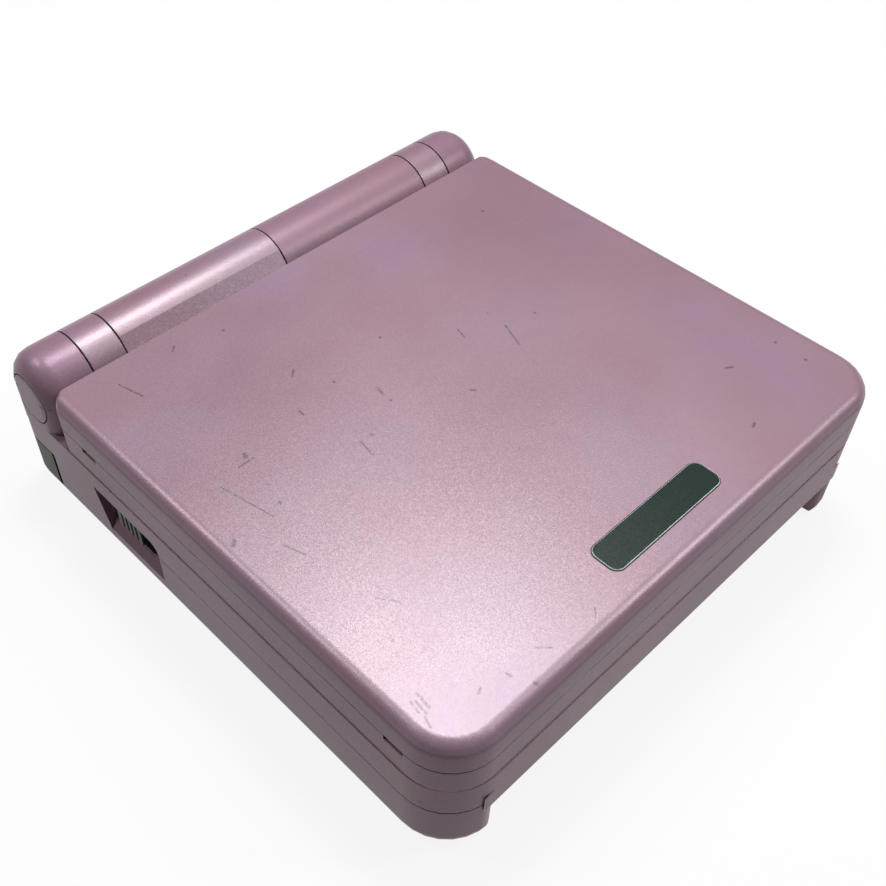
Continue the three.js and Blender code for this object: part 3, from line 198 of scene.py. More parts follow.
class ConsoleStage(bpy.types.PropertyGroup):
    """The camera and the lamps."""

    camera_place: bpy.props.FloatVectorProperty(
        name="Camera place",
        description="Where the camera stands",
        subtype="TRANSLATION",
        unit="LENGTH",
        default=(-79.553 * MM, -75.295 * MM, 124.876 * MM),
    )
    camera_pitch: bpy.props.FloatProperty(
        name="Pitch", description="Tilt up from straight down", subtype="ANGLE",
        default=math.radians(42.0431),
    )
    camera_yaw: bpy.props.FloatProperty(
        name="Yaw", description="Turn about the vertical", subtype="ANGLE",
        default=math.radians(-45.0977),
    )
    camera_roll: bpy.props.FloatProperty(
        name="Roll", description="Turn about the line of sight", subtype="ANGLE",
        default=math.radians(1.057),
    )
    lens: bpy.props.FloatProperty(
        name="Lens", description="Focal length in millimetres", default=45.925, min=1
    )
    shift: bpy.props.FloatVectorProperty(
        name="Shift", description="Framing shift across and up", size=2, default=(0.02723, 0.02105)
    )
    key_power: bpy.props.FloatProperty(
        name="Key lamp", description="Power of the overhead lamp", unit="POWER", default=2.55
    )
    fill_power: bpy.props.FloatProperty(
        name="Fill lamp", description="Power of the front fill", unit="POWER", default=0.4
    )
    rim_power: bpy.props.FloatProperty(
        name="Rim lamps", description="Power of each lamp that lights the lid's edges",
        unit="POWER", default=0.95,
    )
    sky: bpy.props.FloatProperty(
        name="Sky", description="Level of the surrounding light", default=0.085, min=0
    )


# Node helpers


def feed(tree, socket, value):
    """Links another node's output to a socket, or sets a plain value on it."""
    if isinstance(value, bpy.types.NodeSocket):
        tree.links.new(value, socket)
    else:
        socket.default_value = value


def add_node(tree, kind, feeds=None, **settings):
    """A node with its settings and inputs; a feed is a value or another node's output."""
    made = tree.nodes.new(kind)
    for key, value in settings.items():
        setattr(made, key, value)
    for key, value in (feeds or {}).items():
        feed(tree, made.inputs[key], value)
    return made


def calc(tree, operation, *values, clamp=False):
    """A math node's result."""
    made = tree.nodes.new("ShaderNodeMath")
    made.operation = operation
    made.use_clamp = clamp
    for socket, value in zip(made.inputs, values):
        feed(tree, socket, value)
    return made.outputs[0]


def vector_calc(tree, operation, *values, output="Vector"):
    """A vector math node's result."""
    made = tree.nodes.new("ShaderNodeVectorMath")
    made.operation = operation
    sockets = [made.inputs["Scale"] if operation == "SCALE" and i else made.inputs[i]
               for i in range(len(values))]
    for socket, value in zip(sockets, values):
        feed(tree, socket, value)
    return made.outputs[output]


def blend_colours(tree, share, low, high):
    """A colour between low and high."""
    made = tree.nodes.new("ShaderNodeMix")
    made.data_type = "RGBA"
    for number, value in ((MIX_SHARE, share), (MIX_LOW, low), (MIX_HIGH, high)):
        feed(tree, made.inputs[number], value)
    return made.outputs[MIX_COLOUR]


def span(tree, value, low, high, to_low=0.0, to_high=1.0):
    """value taken from the range low..high to another range, and held there."""
    made = add_node(tree, "ShaderNodeMapRange", {
        "Value": value, "From Min": low, "From Max": high, "To Min": to_low, "To Max": to_high,
    }, clamp=True)
    return made.outputs[0]


def solid_colour(value):
    """A colour property as the four numbers a socket takes."""
    return (*value, 1.0)


SOCKETS = {"float": "NodeSocketFloat", "vector": "NodeSocketVector", "color": "NodeSocketColor"}


def new_effect(name, inputs, outputs):
    """An empty node group with named sockets: (tree, inside of its inputs, its output node)."""
    tree = bpy.data.node_groups.new(name, "ShaderNodeTree")
    for key, (kind, value) in inputs.items():
        socket = tree.interface.new_socket(name=key, in_out="INPUT", socket_type=SOCKETS[kind])
        socket.default_value = value
    for key, kind in outputs.items():
        tree.interface.new_socket(name=key, in_out="OUTPUT", socket_type=SOCKETS[kind])
    return tree, tree.nodes.new("NodeGroupInput").outputs, tree.nodes.new("NodeGroupOutput")


def give(tree, out, **results):
    for key, value in results.items():
        tree.links.new(value, out.inputs[key])


def place(tree, effect, feeds=None):
    """One use of an effect in a material: its outputs."""
    return add_node(
        tree, "ShaderNodeGroup", feeds, node_tree=bpy.data.node_groups[effect]).outputs


def spot(tree):
    """The point on the piece, in metres."""
    return tree.nodes.new("ShaderNodeTexCoord").outputs["Object"]


def noise(tree, point, scale, detail=2.0, roughness=0.5):
    made = add_node(tree, "ShaderNodeTexNoise",
                    {"Vector": point, "Scale": scale, "Detail": detail, "Roughness": roughness})
    return made.outputs["Fac"]


# Effects shared by the finishes


def make_soft_edges():
    """Rounds crisp edges in the shading and finds them for wear."""
    tree, inside, out = new_effect(
        "soft_edges", {"Radius": ("float", 0.15 * MM)}, {"Normal": "vector", "Edge": "float"}
    )
    rounded = add_node(tree, "ShaderNodeBevel", {"Radius": inside["Radius"]}, samples=EDGE_SAMPLES)
    true_normal = tree.nodes.new("ShaderNodeNewGeometry").outputs["Normal"]
    along = vector_calc(tree, "DOT_PRODUCT", rounded.outputs[0], true_normal, output="Value")
    edge = span(tree, along, EDGE_FLAT, EDGE_SHARP)
    give(tree, out, Normal=rounded.outputs[0], Edge=edge)


def make_pearl_flakes():
    """Tiny tilted flakes: a value for each and a normal that tips with it."""
    tree, inside, out = new_effect(
        "pearl_flakes",
        {"Normal": ("vector", (0, 0, 1)), "Flakes per metre": ("float", 9000.0),
         "Tilt": ("float", 0.2)},
        {"Flake": "float", "Normal": "vector"},
    )
    cells = add_node(tree, "ShaderNodeTexVoronoi",
                     {"Vector": spot(tree), "Scale": inside["Flakes per metre"]})
    centred = vector_calc(tree, "SUBTRACT", cells.outputs["Color"], MIDDLE)
    tipped = vector_calc(tree, "SCALE", centred, inside["Tilt"])
    summed = vector_calc(tree, "ADD", inside["Normal"], tipped)
    parts = add_node(tree, "ShaderNodeSeparateXYZ", {"Vector": cells.outputs["Color"]})
    give(tree, out, Flake=parts.outputs["X"], Normal=vector_calc(tree, "NORMALIZE", summed))


def make_hairlines():
    """Short straight hairlines in three directions."""
    tree, inside, out = new_effect(
        "hairlines",
        {"Lines per metre": ("float", 60.0), "Amount": ("float", 0.5)},
        {"Mask": "float"},
    )
    total = None
    for turn, stretch, offset in HAIRLINES:
        turned = add_node(tree, "ShaderNodeMapping", {
            "Vector": spot(tree), "Rotation": (HAIRLINE_LEAN * offset, HAIRLINE_TIP, turn),
            "Location": (offset, offset, offset), "Scale": (1.0, stretch, 1.0)})
        grain = add_node(tree, "ShaderNodeTexNoise", {
            "Vector": turned.outputs[0], "Scale": inside["Lines per metre"], "Detail": 2.0})
        line = span(tree, grain.outputs["Fac"], *HAIRLINE_RANGE)
        total = line if total is None else calc(tree, "MAXIMUM", total, line)
    give(tree, out, Mask=calc(tree, "MULTIPLY", total, inside["Amount"]))


def make_scuff():
    """A single scratch from one point to another, broken along its length."""
    tree, inside, out = new_effect(
        "scuff",
        {"From": ("vector", (0, 0, 0)), "To": ("vector", (0, 0, 1)), "Width": ("float", 0.1 * MM)},
        {"Mask": "float"},
    )
    point = spot(tree)
    ragged = add_node(tree, "ShaderNodeTexNoise", {
        "Vector": point, "Scale": SCUFF_RAGGED, "Detail": 2.0})
    shake = vector_calc(tree, "SUBTRACT", ragged.outputs["Color"], MIDDLE)
    shaken = vector_calc(tree, "ADD", point, vector_calc(tree, "SCALE", shake, SCUFF_SHAKE))
    arm = vector_calc(tree, "SUBTRACT", shaken, inside["From"])
    run = vector_calc(tree, "SUBTRACT", inside["To"], inside["From"])
    dot = vector_calc(tree, "DOT_PRODUCT", arm, run, output="Value")
    whole = vector_calc(tree, "DOT_PRODUCT", run, run, output="Value")
    share = calc(tree, "DIVIDE", dot, whole, clamp=True)
    foot = vector_calc(tree, "SCALE", run, share)
    away = vector_calc(tree, "DISTANCE", arm, foot, output="Value")
    ratio = calc(tree, "DIVIDE", away, inside["Width"])
    line = span(tree, ratio, 1.0, SCUFF_CORE)
    broken = span(tree, noise(tree, point, SCUFF_BREAKS), *SCUFF_BREAK_RANGE)
    give(tree, out, Mask=calc(tree, "MULTIPLY", line, broken))


def make_handling():
    """Broad uneven gloss and tone from handling, and small specks."""
    tree, inside, out = new_effect(
        "handling", {"Scale": ("float", 45.0)}, {"Cloud": "float", "Speck": "float"}
    )
    point = spot(tree)
    cloud = add_node(tree, "ShaderNodeTexNoise",
                     {"Vector": point, "Scale": inside["Scale"], "Detail": 4.0})
    dots = add_node(tree, "ShaderNodeTexVoronoi", {"Vector": point, "Scale": SPECKS})
    near = span(tree, dots.outputs["Distance"], *SPECK_REACH)
    chance = add_node(tree, "ShaderNodeSeparateXYZ", {"Vector": dots.outputs["Color"]})
    few = span(tree, chance.outputs["X"], *SPECK_CHANCE)
    give(tree, out, Cloud=cloud.outputs["Fac"], Speck=calc(tree, "MULTIPLY", near, few))


def make_mould_grain():
    """The fine matt grain of a moulded surface, as a height."""
    tree, inside, out = new_effect(
        "mould_grain", {"Grains per metre": ("float", 4500.0)}, {"Height": "float"}
    )
    grain = add_node(tree, "ShaderNodeTexNoise", {
        "Vector": spot(tree), "Scale": inside["Grains per metre"], "Detail": 3.0})
    give(tree, out, Height=grain.outputs["Fac"])


# Finishes


def new_finish(name, **constants):
    """A material with its Principled shader, whose even values are set on it."""
    made = bpy.data.materials.new(name)
    made.use_nodes = True
    tree = made.node_tree
    shader = tree.nodes["Principled BSDF"]
    for key, value in constants.items():
        shader.inputs[key.replace("_", " ")].default_value = value
    return made, tree, shader


def bump(tree, height, normal, depth):
    """A normal bent by a height whose full range is depth metres."""
    made = add_node(tree, "ShaderNodeBump", {
        "Height": height, "Normal": normal, "Distance": depth, "Strength": 1.0})
    return made.outputs[0]


def greatest(tree, masks):
    total = masks[0]
    for mask in masks[1:]:
        total = calc(tree, "MAXIMUM", total, mask)
    return total


def pearl_finish(name, scuffs=(), wear=0.5, gloss=0.5):
    """Pearl pink paint over moulded plastic, rubbed on its edges."""
    look, sizes = bpy.context.scene.console_colours, bpy.context.scene.console_sizes
    made, tree, shader = new_finish(
        name, Metallic=0.15, Coat_Roughness=0.3, Specular_IOR_Level=gloss)
    edges = place(tree, "soft_edges", {"Radius": sizes.edge_round})
    tree.links.new(span(tree, edges["Edge"], 0.0, 1.0, COAT_SHARE * gloss, COAT_ON_EDGES),
                   shader.inputs["Coat Weight"])
    flakes = place(tree, "pearl_flakes", {
        "Normal": edges["Normal"], "Flakes per metre": 1 / sizes.flake_size, "Tilt": FLAKE_TILT})
    handling = place(tree, "handling", {"Scale": 38.0})
    lines = place(tree, "hairlines", {"Lines per metre": 70.0, "Amount": 0.5})["Mask"]
    tone = calc(tree, "ADD", calc(tree, "MULTIPLY", flakes["Flake"], FLAKE_SHARE),
                span(tree, handling["Cloud"], *CLOUD_RANGE, *TONE_RANGE))
    patches = span(tree, noise(tree, spot(tree), PATCHES, 3.0), *PATCH_RANGE, 0.0, PATCH_SHARE)
    bright = blend_colours(tree, patches, solid_colour(look.pearl), solid_colour(look.lilac))
    paint = blend_colours(tree, tone, solid_colour(look.pearl_deep), bright)
    marks = [calc(tree, "MULTIPLY", lines, LINE_SHOW)]
    rubbed = calc(tree, "MULTIPLY", edges["Edge"],
                  span(tree, noise(tree, spot(tree), RUB_SCALE, 3.0), *RUB_RANGE, 0.0, wear))
    marks.append(rubbed)
    worn = greatest(tree, marks)
    painted = blend_colours(tree, worn, paint, solid_colour(look.bare))
    dirt = [calc(tree, "MULTIPLY", handling["Speck"], SPECK_SHOW)]
    for start, end, width in scuffs:
        mark = place(tree, "scuff", {
            "From": Vector((*start, LID_TOP)) * MM, "To": Vector((*end, LID_TOP)) * MM,
            "Width": SCUFF_STRETCH * width * MM})
        dirt.append(calc(tree, "MULTIPLY", mark["Mask"], SCUFF_SHOW))
    marked = blend_colours(tree, greatest(tree, dirt), painted, solid_colour(look.scuff))
    tree.links.new(marked, shader.inputs["Base Color"])
    rough = calc(tree, "ADD", span(tree, handling["Cloud"], *CLOUD_RANGE, *PAINT_ROUGH),
                 calc(tree, "MULTIPLY", worn, WORN_ROUGH))
    tree.links.new(rough, shader.inputs["Roughness"])
    peel = noise(tree, spot(tree), PEEL_SCALE, 2.0)
    dented = calc(tree, "SUBTRACT", calc(tree, "MULTIPLY", peel, PEEL_SHARE), worn)
    tree.links.new(bump(tree, dented, flakes["Normal"], PEEL_DEPTH), shader.inputs["Normal"])
    return made


def moulded_finish(name, tint, rough=0.42, grain=0.006, variation=0.12, **constants):
    """Bare moulded plastic or rubber with its grain, a little uneven gloss and a highlight painted on
    its edges.
    """
    sizes = bpy.context.scene.console_sizes
    made, tree, shader = new_finish(name, **constants)
    edges = place(tree, "soft_edges", {"Radius": sizes.edge_round})
    handling = place(tree, "handling", {"Scale": 60.0})
    lines = place(tree, "hairlines", {"Lines per metre": 90.0, "Amount": 0.4})["Mask"]
    darker = solid_colour([c * (1 - variation) for c in tint])
    lighter = solid_colour([min(1, c * (1 + variation) + LIGHTER_BY) for c in tint])
    body = blend_colours(tree, handling["Cloud"], darker, lighter)
    # Painted highlight: the rounded edges lighter in the colour itself
    painted_edge_shine = blend_colours(tree, calc(tree, "MULTIPLY", edges["Edge"], EDGE_SHINE), body,
                          solid_colour([min(1, c * SHINE_TIMES + SHINE_BY) for c in tint]))
    tree.links.new(painted_edge_shine, shader.inputs["Base Color"])
    uneven = span(tree, handling["Cloud"], *CLOUD_RANGE,
                  rough - MOULDED_ROUGH_SWING, rough + MOULDED_ROUGH_SWING)
    tree.links.new(calc(tree, "ADD", uneven, calc(tree, "MULTIPLY", lines, LINE_ROUGH)),
                   shader.inputs["Roughness"])
    height = place(tree, "mould_grain", {"Grains per metre": 1 / sizes.grain_size})["Height"]
    tree.links.new(bump(tree, height, edges["Normal"], grain * MM), shader.inputs["Normal"])
    return made


def metal_finish(name, tint, rough=0.28):
    """Turned steel with fine tool lines and a little tarnish."""
    made, tree, shader = new_finish(name, Metallic=1.0)
    edges = place(tree, "soft_edges", {"Radius": STEEL_ROUND})
    handling = place(tree, "handling", {"Scale": 260.0})
    lines = place(tree, "hairlines", {"Lines per metre": 160.0, "Amount": 0.7})["Mask"]
    tarnish = solid_colour([c * TARNISH for c in tint])
    body = blend_colours(tree, handling["Cloud"], tarnish, solid_colour(tint))
    tree.links.new(body, shader.inputs["Base Color"])
    uneven = span(tree, handling["Cloud"], *CLOUD_RANGE, rough - 0.06, rough + 0.08)
    tree.links.new(calc(tree, "ADD", uneven, calc(tree, "MULTIPLY", lines, STEEL_LINE_ROUGH)),
                   shader.inputs["Roughness"])
    tree.links.new(bump(tree, lines, edges["Normal"], STEEL_LINE_DEPTH), shader.inputs["Normal"])
    return made


def plate_finish(name, tint, rough, wear):
    """Enamelled or bright metal of the nameplate."""
    made, tree, shader = new_finish(name, Metallic=0.05, Specular_IOR_Level=0.12)
    edges = place(tree, "soft_edges", {"Radius": PLATE_ROUND})
    flakes = place(tree, "pearl_flakes", {
        "Normal": edges["Normal"], "Flakes per metre": 12000.0, "Tilt": 0.1})
    lines = place(tree, "hairlines", {"Lines per metre": 120.0, "Amount": 0.25})["Mask"]
    tone = calc(tree, "ADD", calc(tree, "MULTIPLY", flakes["Flake"], PLATE_FLAKE_SHARE), lines)
    body = blend_colours(tree, tone, solid_colour([c * PLATE_DARK for c in tint]),
                         solid_colour([min(1, c * PLATE_LIGHT + wear) for c in tint]))
    tree.links.new(body, shader.inputs["Base Color"])
    tree.links.new(calc(tree, "ADD", rough, calc(tree, "MULTIPLY", lines, PLATE_LINE_ROUGH)),
                   shader.inputs["Roughness"])
    tree.links.new(flakes["Normal"], shader.inputs["Normal"])
    return made


def clear_finish(name, tint, rough, transmission):
    """Clear or milky plastic and glass."""
    made, tree, shader = new_finish(name, Transmission_Weight=transmission, IOR=1.49, Metallic=0.0)
    handling = place(tree, "handling", {"Scale": 70.0})
    lines = place(tree, "hairlines", {"Lines per metre": 100.0, "Amount": 0.4})["Mask"]
    body = blend_colours(tree, handling["Cloud"], solid_colour([c * CLEAR_DARK for c in tint]),
                         solid_colour(tint))
    tree.links.new(body, shader.inputs["Base Color"])
    tree.links.new(calc(tree, "ADD", rough, calc(tree, "MULTIPLY", lines, LINE_ROUGH)),
                   shader.inputs["Roughness"])
    return made


def board_finish(name, tint):
    """Green solder mask with tracks under it."""
    made, tree, shader = new_finish(name, Coat_Weight=0.4, Coat_Roughness=0.2)
    tracks = add_node(tree, "ShaderNodeTexBrick", {
        "Vector": spot(tree), "Color1": solid_colour(tint),
        "Color2": solid_colour([c * TRACK_LIGHT for c in tint]),
        "Mortar": solid_colour([c * TRACK_DARK for c in tint]),
        "Scale": 180.0, "Mortar Size": 0.03, "Brick Width": 0.9, "Row Height": 0.16})
    handling = place(tree, "handling", {"Scale": 90.0})
    tree.links.new(tracks.outputs["Color"], shader.inputs["Base Color"])
    tree.links.new(span(tree, handling["Cloud"], *CLOUD_RANGE, 0.3, 0.45), shader.inputs["Roughness"])
    tree.links.new(bump(tree, tracks.outputs["Fac"], spot_normal(tree), TRACK_DEPTH),
                   shader.inputs["Normal"])
    return made


def spot_normal(tree):
    return tree.nodes.new("ShaderNodeNewGeometry").outputs["Normal"]


def finish(name):
    """The finish with this name, made when first asked for."""
    return bpy.data.materials.get(name) or FINISHES[name](name)


def colours():
    return bpy.context.scene.console_colours


# Scuffs on the lid's top in mm: from, to (x, y) and width
LID_TOP = 22.8
LID_SCUFFS = (
    ((-31.8, -21.5), (-30.3, -23.7), 0.1),
    ((-23.9, -37.9), (-22.7, -39.1), 0.12),
    ((-28.5, -37.9), (-28.4, -38.4), 0.2),
    ((-27.2, -40.7), (-27.1, -40.9), 0.24),
    ((-32.3, -37.5), (-31.7, -37.2), 0.18),
    ((-36.9, -33.2), (-37.1, -35.1), 0.2),
    ((-38.0, -33.3), (-38.3, -34.8), 0.13),
    ((-37.6, -33.6), (-37.8, -35.4), 0.16),
    ((-38.2, -35.6), (-38.6, -36.8), 0.15),
    ((-34.3, -26.6), (-34.3, -26.7), 0.2),
    ((-15.4, -38.9), (-16.5, -39.9), 0.1),
    ((-33.0, 26.0), (-32.0, 22.1), 0.14),
    ((-23.5, 27.1), (-24.2, 26.4), 0.18),
    ((-14.9, 12.6), (-15.8, 11.8), 0.16),
    ((-9.3, 2.6), (-9.5, 1.3), 0.2),
    ((-19.3, 6.3), (-19.3, 5.4), 0.16),
    ((-12.6, 7.3), (-12.6, 7.2), 0.2),
    ((-30.7, 4.0), (-28.2, 4.1), 0.14),
    ((-28.9, 5.3), (-29.1, 4.8), 0.3),
    ((-34.2, 2.9), (-32.6, -4.7), 0.11),
    ((-38.6, -4.9), (-38.1, -4.5), 0.3),
    ((-30.7, -3.6), (-30.7, -3.8), 0.22),
    ((-34.4, -8.8), (-33.5, -11.6), 0.12),
    ((-17.2, -2.9), (-17.6, -5.6), 0.15),
    ((-15.4, -3.0), (-15.5, -3.2), 0.22),
    ((11.7, -0.5), (10.2, -4.6), 0.13),
    ((6.4, 3.4), (5.9, 1.6), 0.12),
    ((-0.8, -6.0), (-0.4, -6.4), 0.22),
    ((20.2, -35.1), (20.8, -34.9), 0.24),
    ((26.6, -26.4), (27.4, -26.9), 0.2),
)

FINISHES = {
    "pearl_lid": lambda n: pearl_finish(n, LID_SCUFFS, wear=0.75),
    "pearl_case": lambda n: pearl_finish(n, wear=0.6, gloss=0.14),
    "pearl_hinge": lambda n: pearl_finish(n, wear=0.9),
    "smoked": lambda n: moulded_finish(n, colours().smoke, 0.4, 0.004, Specular_IOR_Level=0.1),
    "plate_green": lambda n: plate_finish(n, colours().plate, 0.36, 0.003),
    "plate_rim": lambda n: plate_finish(n, colours().plate_rim, 0.26, 0.05),
    "key_grey": lambda n: moulded_finish(n, colours().key, 0.4, 0.004),
    "dark_moulded": lambda n: moulded_finish(n, colours().dark, 0.45, 0.008, Specular_IOR_Level=0.2),
    "silicone_soft": lambda n: moulded_finish(n, colours().rubber, 0.62, 0.006),
    "wrap_sleeve": lambda n: moulded_finish(n, colours().wrap, 0.3, 0.003, Coat_Weight=0.3),
    "steel_turned": lambda n: metal_finish(n, colours().metal),
    "board_green": lambda n: board_finish(n, colours().board),
    "pipe_clear": lambda n: clear_finish(n, (0.85, 0.93, 0.86), 0.25, 0.6),
    "guide_clear": lambda n: clear_finish(n, (0.93, 0.96, 0.93), 0.06, 0.97),
    "lens_clear": lambda n: clear_finish(n, (0.97, 0.98, 0.98), 0.04, 1.0),
    "panel_dark": lambda n: moulded_finish(n, (0.06, 0.075, 0.062), 0.2, 0.001, 0.04),
    "border_black": lambda n: moulded_finish(n, (0.008, 0.008, 0.01), 0.3, 0.001),
}


# Shapes


def is_crease(edge, crease, crest):
    """Whether an edge stays crisp: it turns sharply, or it runs along the crest line (y, z)."""
    if len(edge.link_faces) != 2 or edge.calc_face_angle(0.0) > crease:
        return True
    return crest is not None and all(
        math.dist(vert.co.yz, crest) < CREST_REACH for vert in edge.verts)


def smooth_mesh(node_name, piece_name, crease, crest):
    """A node's form with its flat faces joined, its curves smooth and its corners crisp."""
    work = bmesh.new()
    work.from_mesh(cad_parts[node_name].data)
    bmesh.ops.remove_doubles(work, verts=work.verts, dist=WELD)
    bmesh.ops.dissolve_limit(
        work, angle_limit=FLAT_ANGLE, verts=work.verts, edges=work.edges, delimit=set()
    )
    for face in work.faces:
        face.smooth = True
    for edge in work.edges:
        edge.smooth = not is_crease(edge, crease, crest)
    made = bpy.data.meshes.new(piece_name)
    work.to_mesh(made)
    work.free()
    return made


def dress(node_name, piece_name, body, slot_name, *finish_names, crease=None, crest=None):
    """A smooth piece in the place of a node, with its finish, riding on its body."""
    usual = bpy.context.scene.console_sizes.crease_angle
    made = smooth_mesh(node_name, piece_name, crease or usual, crest)
    for name in finish_names:
        made.materials.append(finish(name))
    piece = bpy.data.objects.new(piece_name, made)
    bpy.context.scene.collection.objects.link(piece)
    even = piece.modifiers.new("even shading", "WEIGHTED_NORMAL")
    even.mode = "FACE_AREA"
    even.keep_sharp = True
    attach(piece, body)
    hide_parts(node_name)
    return piece


def repaint(node_name, finish_name):
    """A better finish on a node whose form stays."""
    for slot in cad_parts[node_name].material_slots:
        slot.material = finish(finish_name)


def link_lamp(name, place_at, power, width):
    """A square soft lamp, turned to the console."""
    data = bpy.data.lights.new(name, "AREA")
    data.energy = power
    data.shape = "SQUARE"
    data.size = width
    lamp = bpy.data.objects.new(name, data)
    lamp.location = place_at
    lamp.rotation_euler = (Vector(AIM) - Vector(place_at)).to_track_quat("-Z", "Y").to_euler()
    bpy.context.scene.collection.objects.link(lamp)


# Operators


class CONSOLE_OT_stage(bpy.types.Operator):
    """Lays the pale floor, the soft lamps and the camera"""

    bl_idname = "console.stage"
    bl_label = "Stage"

    def execute(self, context):
        stage = context.scene.console_stage
        self.lay_floor()
        self.light(context, stage)
        self.set_camera(context, stage)
        return {"FINISHED"}

    def lay_floor(self):
        corners = ((-1, -1), (1, -1), (1, 1), (-1, 1))
        made = bpy.data.meshes.new("floor")
        made.from_pydata(
            [(x * FLOOR_HALF, y * FLOOR_HALF, 0) for x, y in corners], [], [(0, 1, 2, 3)])
        made.materials.append(self.floor_finish())
        floor = bpy.data.objects.new("floor", made)
        bpy.context.scene.collection.objects.link(floor)

    def floor_finish(self):
        made, tree, shader = new_finish("floor_pale", Roughness=0.9, Specular_IOR_Level=0.1)
        shader.inputs["Base Color"].default_value = solid_colour(colours().floor)
        rays = tree.nodes.new("ShaderNodeLightPath").outputs
        seen = calc(tree, "MAXIMUM", rays["Is Camera Ray"],
                    calc(tree, "MAXIMUM", rays["Is Glossy Ray"], rays["Is Transmission Ray"]))
        white = add_node(tree, "ShaderNodeEmission", {"Color": (1, 1, 1, 1), "Strength": 1.0})
        mixed = add_node(tree, "ShaderNodeMixShader", {
            0: calc(tree, "MULTIPLY", seen, FLOOR_WHITE), 1: shader.outputs[0], 2: white.outputs[0]})
        tree.links.new(mixed.outputs[0], tree.nodes["Material Output"].inputs["Surface"])
        return made

    def light(self, context, stage):
        world = bpy.data.worlds.new("soft sky")
        world.use_nodes = True
        back = world.node_tree.nodes["Background"]
        back.inputs["Color"].default_value = SKY_COLOUR
        seen = world.node_tree.nodes.new("ShaderNodeLightPath").outputs["Is Camera Ray"]
        strength = span(world.node_tree, seen, 0.0, 1.0, stage.sky, 1.0)
        world.node_tree.links.new(strength, back.inputs["Strength"])
        context.scene.world = world
        for name, place_at, power, width in (
            ("overhead lamp", (0.10, 0.09, 0.42), stage.key_power, 0.13),
            ("front fill", (0.12, -0.11, 0.40), stage.fill_power, 0.1),
            ("left rim lamp", (-0.17, 0.23, 0.40), stage.rim_power, 0.1),
            ("right rim lamp", (0.25, -0.22, 0.32), stage.rim_power, 0.1),
        ):
            link_lamp(name, place_at, power, width)

    def set_camera(self, context, stage):
        data = bpy.data.cameras.new("camera")
        data.sensor_fit = "HORIZONTAL"
        data.sensor_width = SENSOR_WIDTH
        data.lens = stage.lens
        data.shift_x, data.shift_y = stage.shift
        data.clip_start = NEAREST
        camera = bpy.data.objects.new("camera", data)
        camera.rotation_mode = "QUATERNION"
        camera.rotation_quaternion = camera_turn(stage)
        camera.location = stage.camera_place
        context.scene.collection.objects.link(camera)
        context.scene.camera = camera
        context.scene.view_settings.view_transform = "Standard"


def camera_turn(stage):
    """Yaw about the vertical, then pitch up, then roll about the line of sight."""
    yaw = Quaternion((0, 0, 1), stage.camera_yaw)
    pitch = Quaternion((1, 0, 0), stage.camera_pitch)
    roll = Quaternion((0, 0, 1), stage.camera_roll)
    return yaw @ pitch @ roll


class CONSOLE_OT_lid(bpy.types.Operator):
    """Dresses the two shells of the lid"""

    bl_idname = "console.lid"
    bl_label = "Lid shells"

    def execute(self, context):
        cover = dress("lid_outer_shell", "lid_cover", "lid", "pearl_paint", "pearl_lid",
                      "pearl_case", crest=CREST_LINE)
        for face in cover.data.polygons:
            if face.normal.z < SIDE_FACING and face.center.y < CREST_LINE[0]:
                face.material_index = 1
        dress("lid_inner_shell", "lid_frame", "lid", "pearl_paint", "pearl_case")
        return {"FINISHED"}


class CONSOLE_OT_case(bpy.types.Operator):
    """Dresses the two shells of the base and the battery cover"""

    bl_idname = "console.case"
    bl_label = "Base shells"

    def execute(self, context):
        dress("base_upper_shell", "case_deck", "base", "pearl_paint", "pearl_case")
        dress("base_lower_shell", "case_bottom", "base", "pearl_paint", "pearl_case")
        dress("battery_cover", "cover_panel", "base", "pearl_paint", "pearl_case")
        return {"FINISHED"}


class CONSOLE_OT_hinge(bpy.types.Operator):
    """Dresses the collars, end discs, pin and spring cartridge of the hinge"""

    bl_idname = "console.hinge"
    bl_label = "Hinge"

    def execute(self, context):
        for side in ("left", "right"):
            dress(f"hinge_collar_{side}", f"collar_{side}", "lid", "pearl_paint", "pearl_hinge")
            dress(f"hinge_end_plug_{side}", f"end_disc_{side}", "base", "pearl_paint", "pearl_case")
        for name in ("hinge_pin", "hinge_spring_cartridge"):
            repaint(name, "steel_turned")
        return {"FINISHED"}


class CONSOLE_OT_nameplate(bpy.types.Operator):
    """Dresses the plain nameplate and brightens its chamfer"""

    bl_idname = "console.nameplate"
    bl_label = "Nameplate"

    def execute(self, context):
        piece = dress("nameplate", "plate", "lid", "green_plate", "plate_green", "plate_rim",
                      crease=PLATE_CREASE)
        for face in piece.data.polygons:
            if RIM_LOW < face.normal.z < RIM_HIGH:
                face.material_index = 1
        return {"FINISHED"}


class CONSOLE_OT_shoulders(bpy.types.Operator):
    """Dresses the smoked shoulder buttons and their pins"""

    bl_idname = "console.shoulders"
    bl_label = "Shoulder buttons"

    def execute(self, context):
        for side in ("left", "right"):
            dress(f"shoulder_button_{side}", f"shoulder_key_{side}", f"shoulder_{side}",
                  "smoked_plastic", "smoked")
            repaint(f"shoulder_pin_{side}", "steel_turned")
        return {"FINISHED"}


class CONSOLE_OT_keys(bpy.types.Operator):
    """Dresses the direction pad, the round keys and the membranes under them"""

    bl_idname = "console.keys"
    bl_label = "Keys"

    def execute(self, context):
        dress("direction_pad", "pad_cross", "pad", "grey_plastic", "key_grey")
        for key in ("a", "b", "select", "start", "light"):
            dress(f"{key}_button", f"{key}_cap", f"{key}_key", "grey_plastic", "key_grey")
        repaint("direction_pad_pivot", "key_grey")
        for place_name in ("direction_pad", "action", "menu"):
            repaint(f"{place_name}_membrane", "silicone_soft")
        return {"FINISHED"}


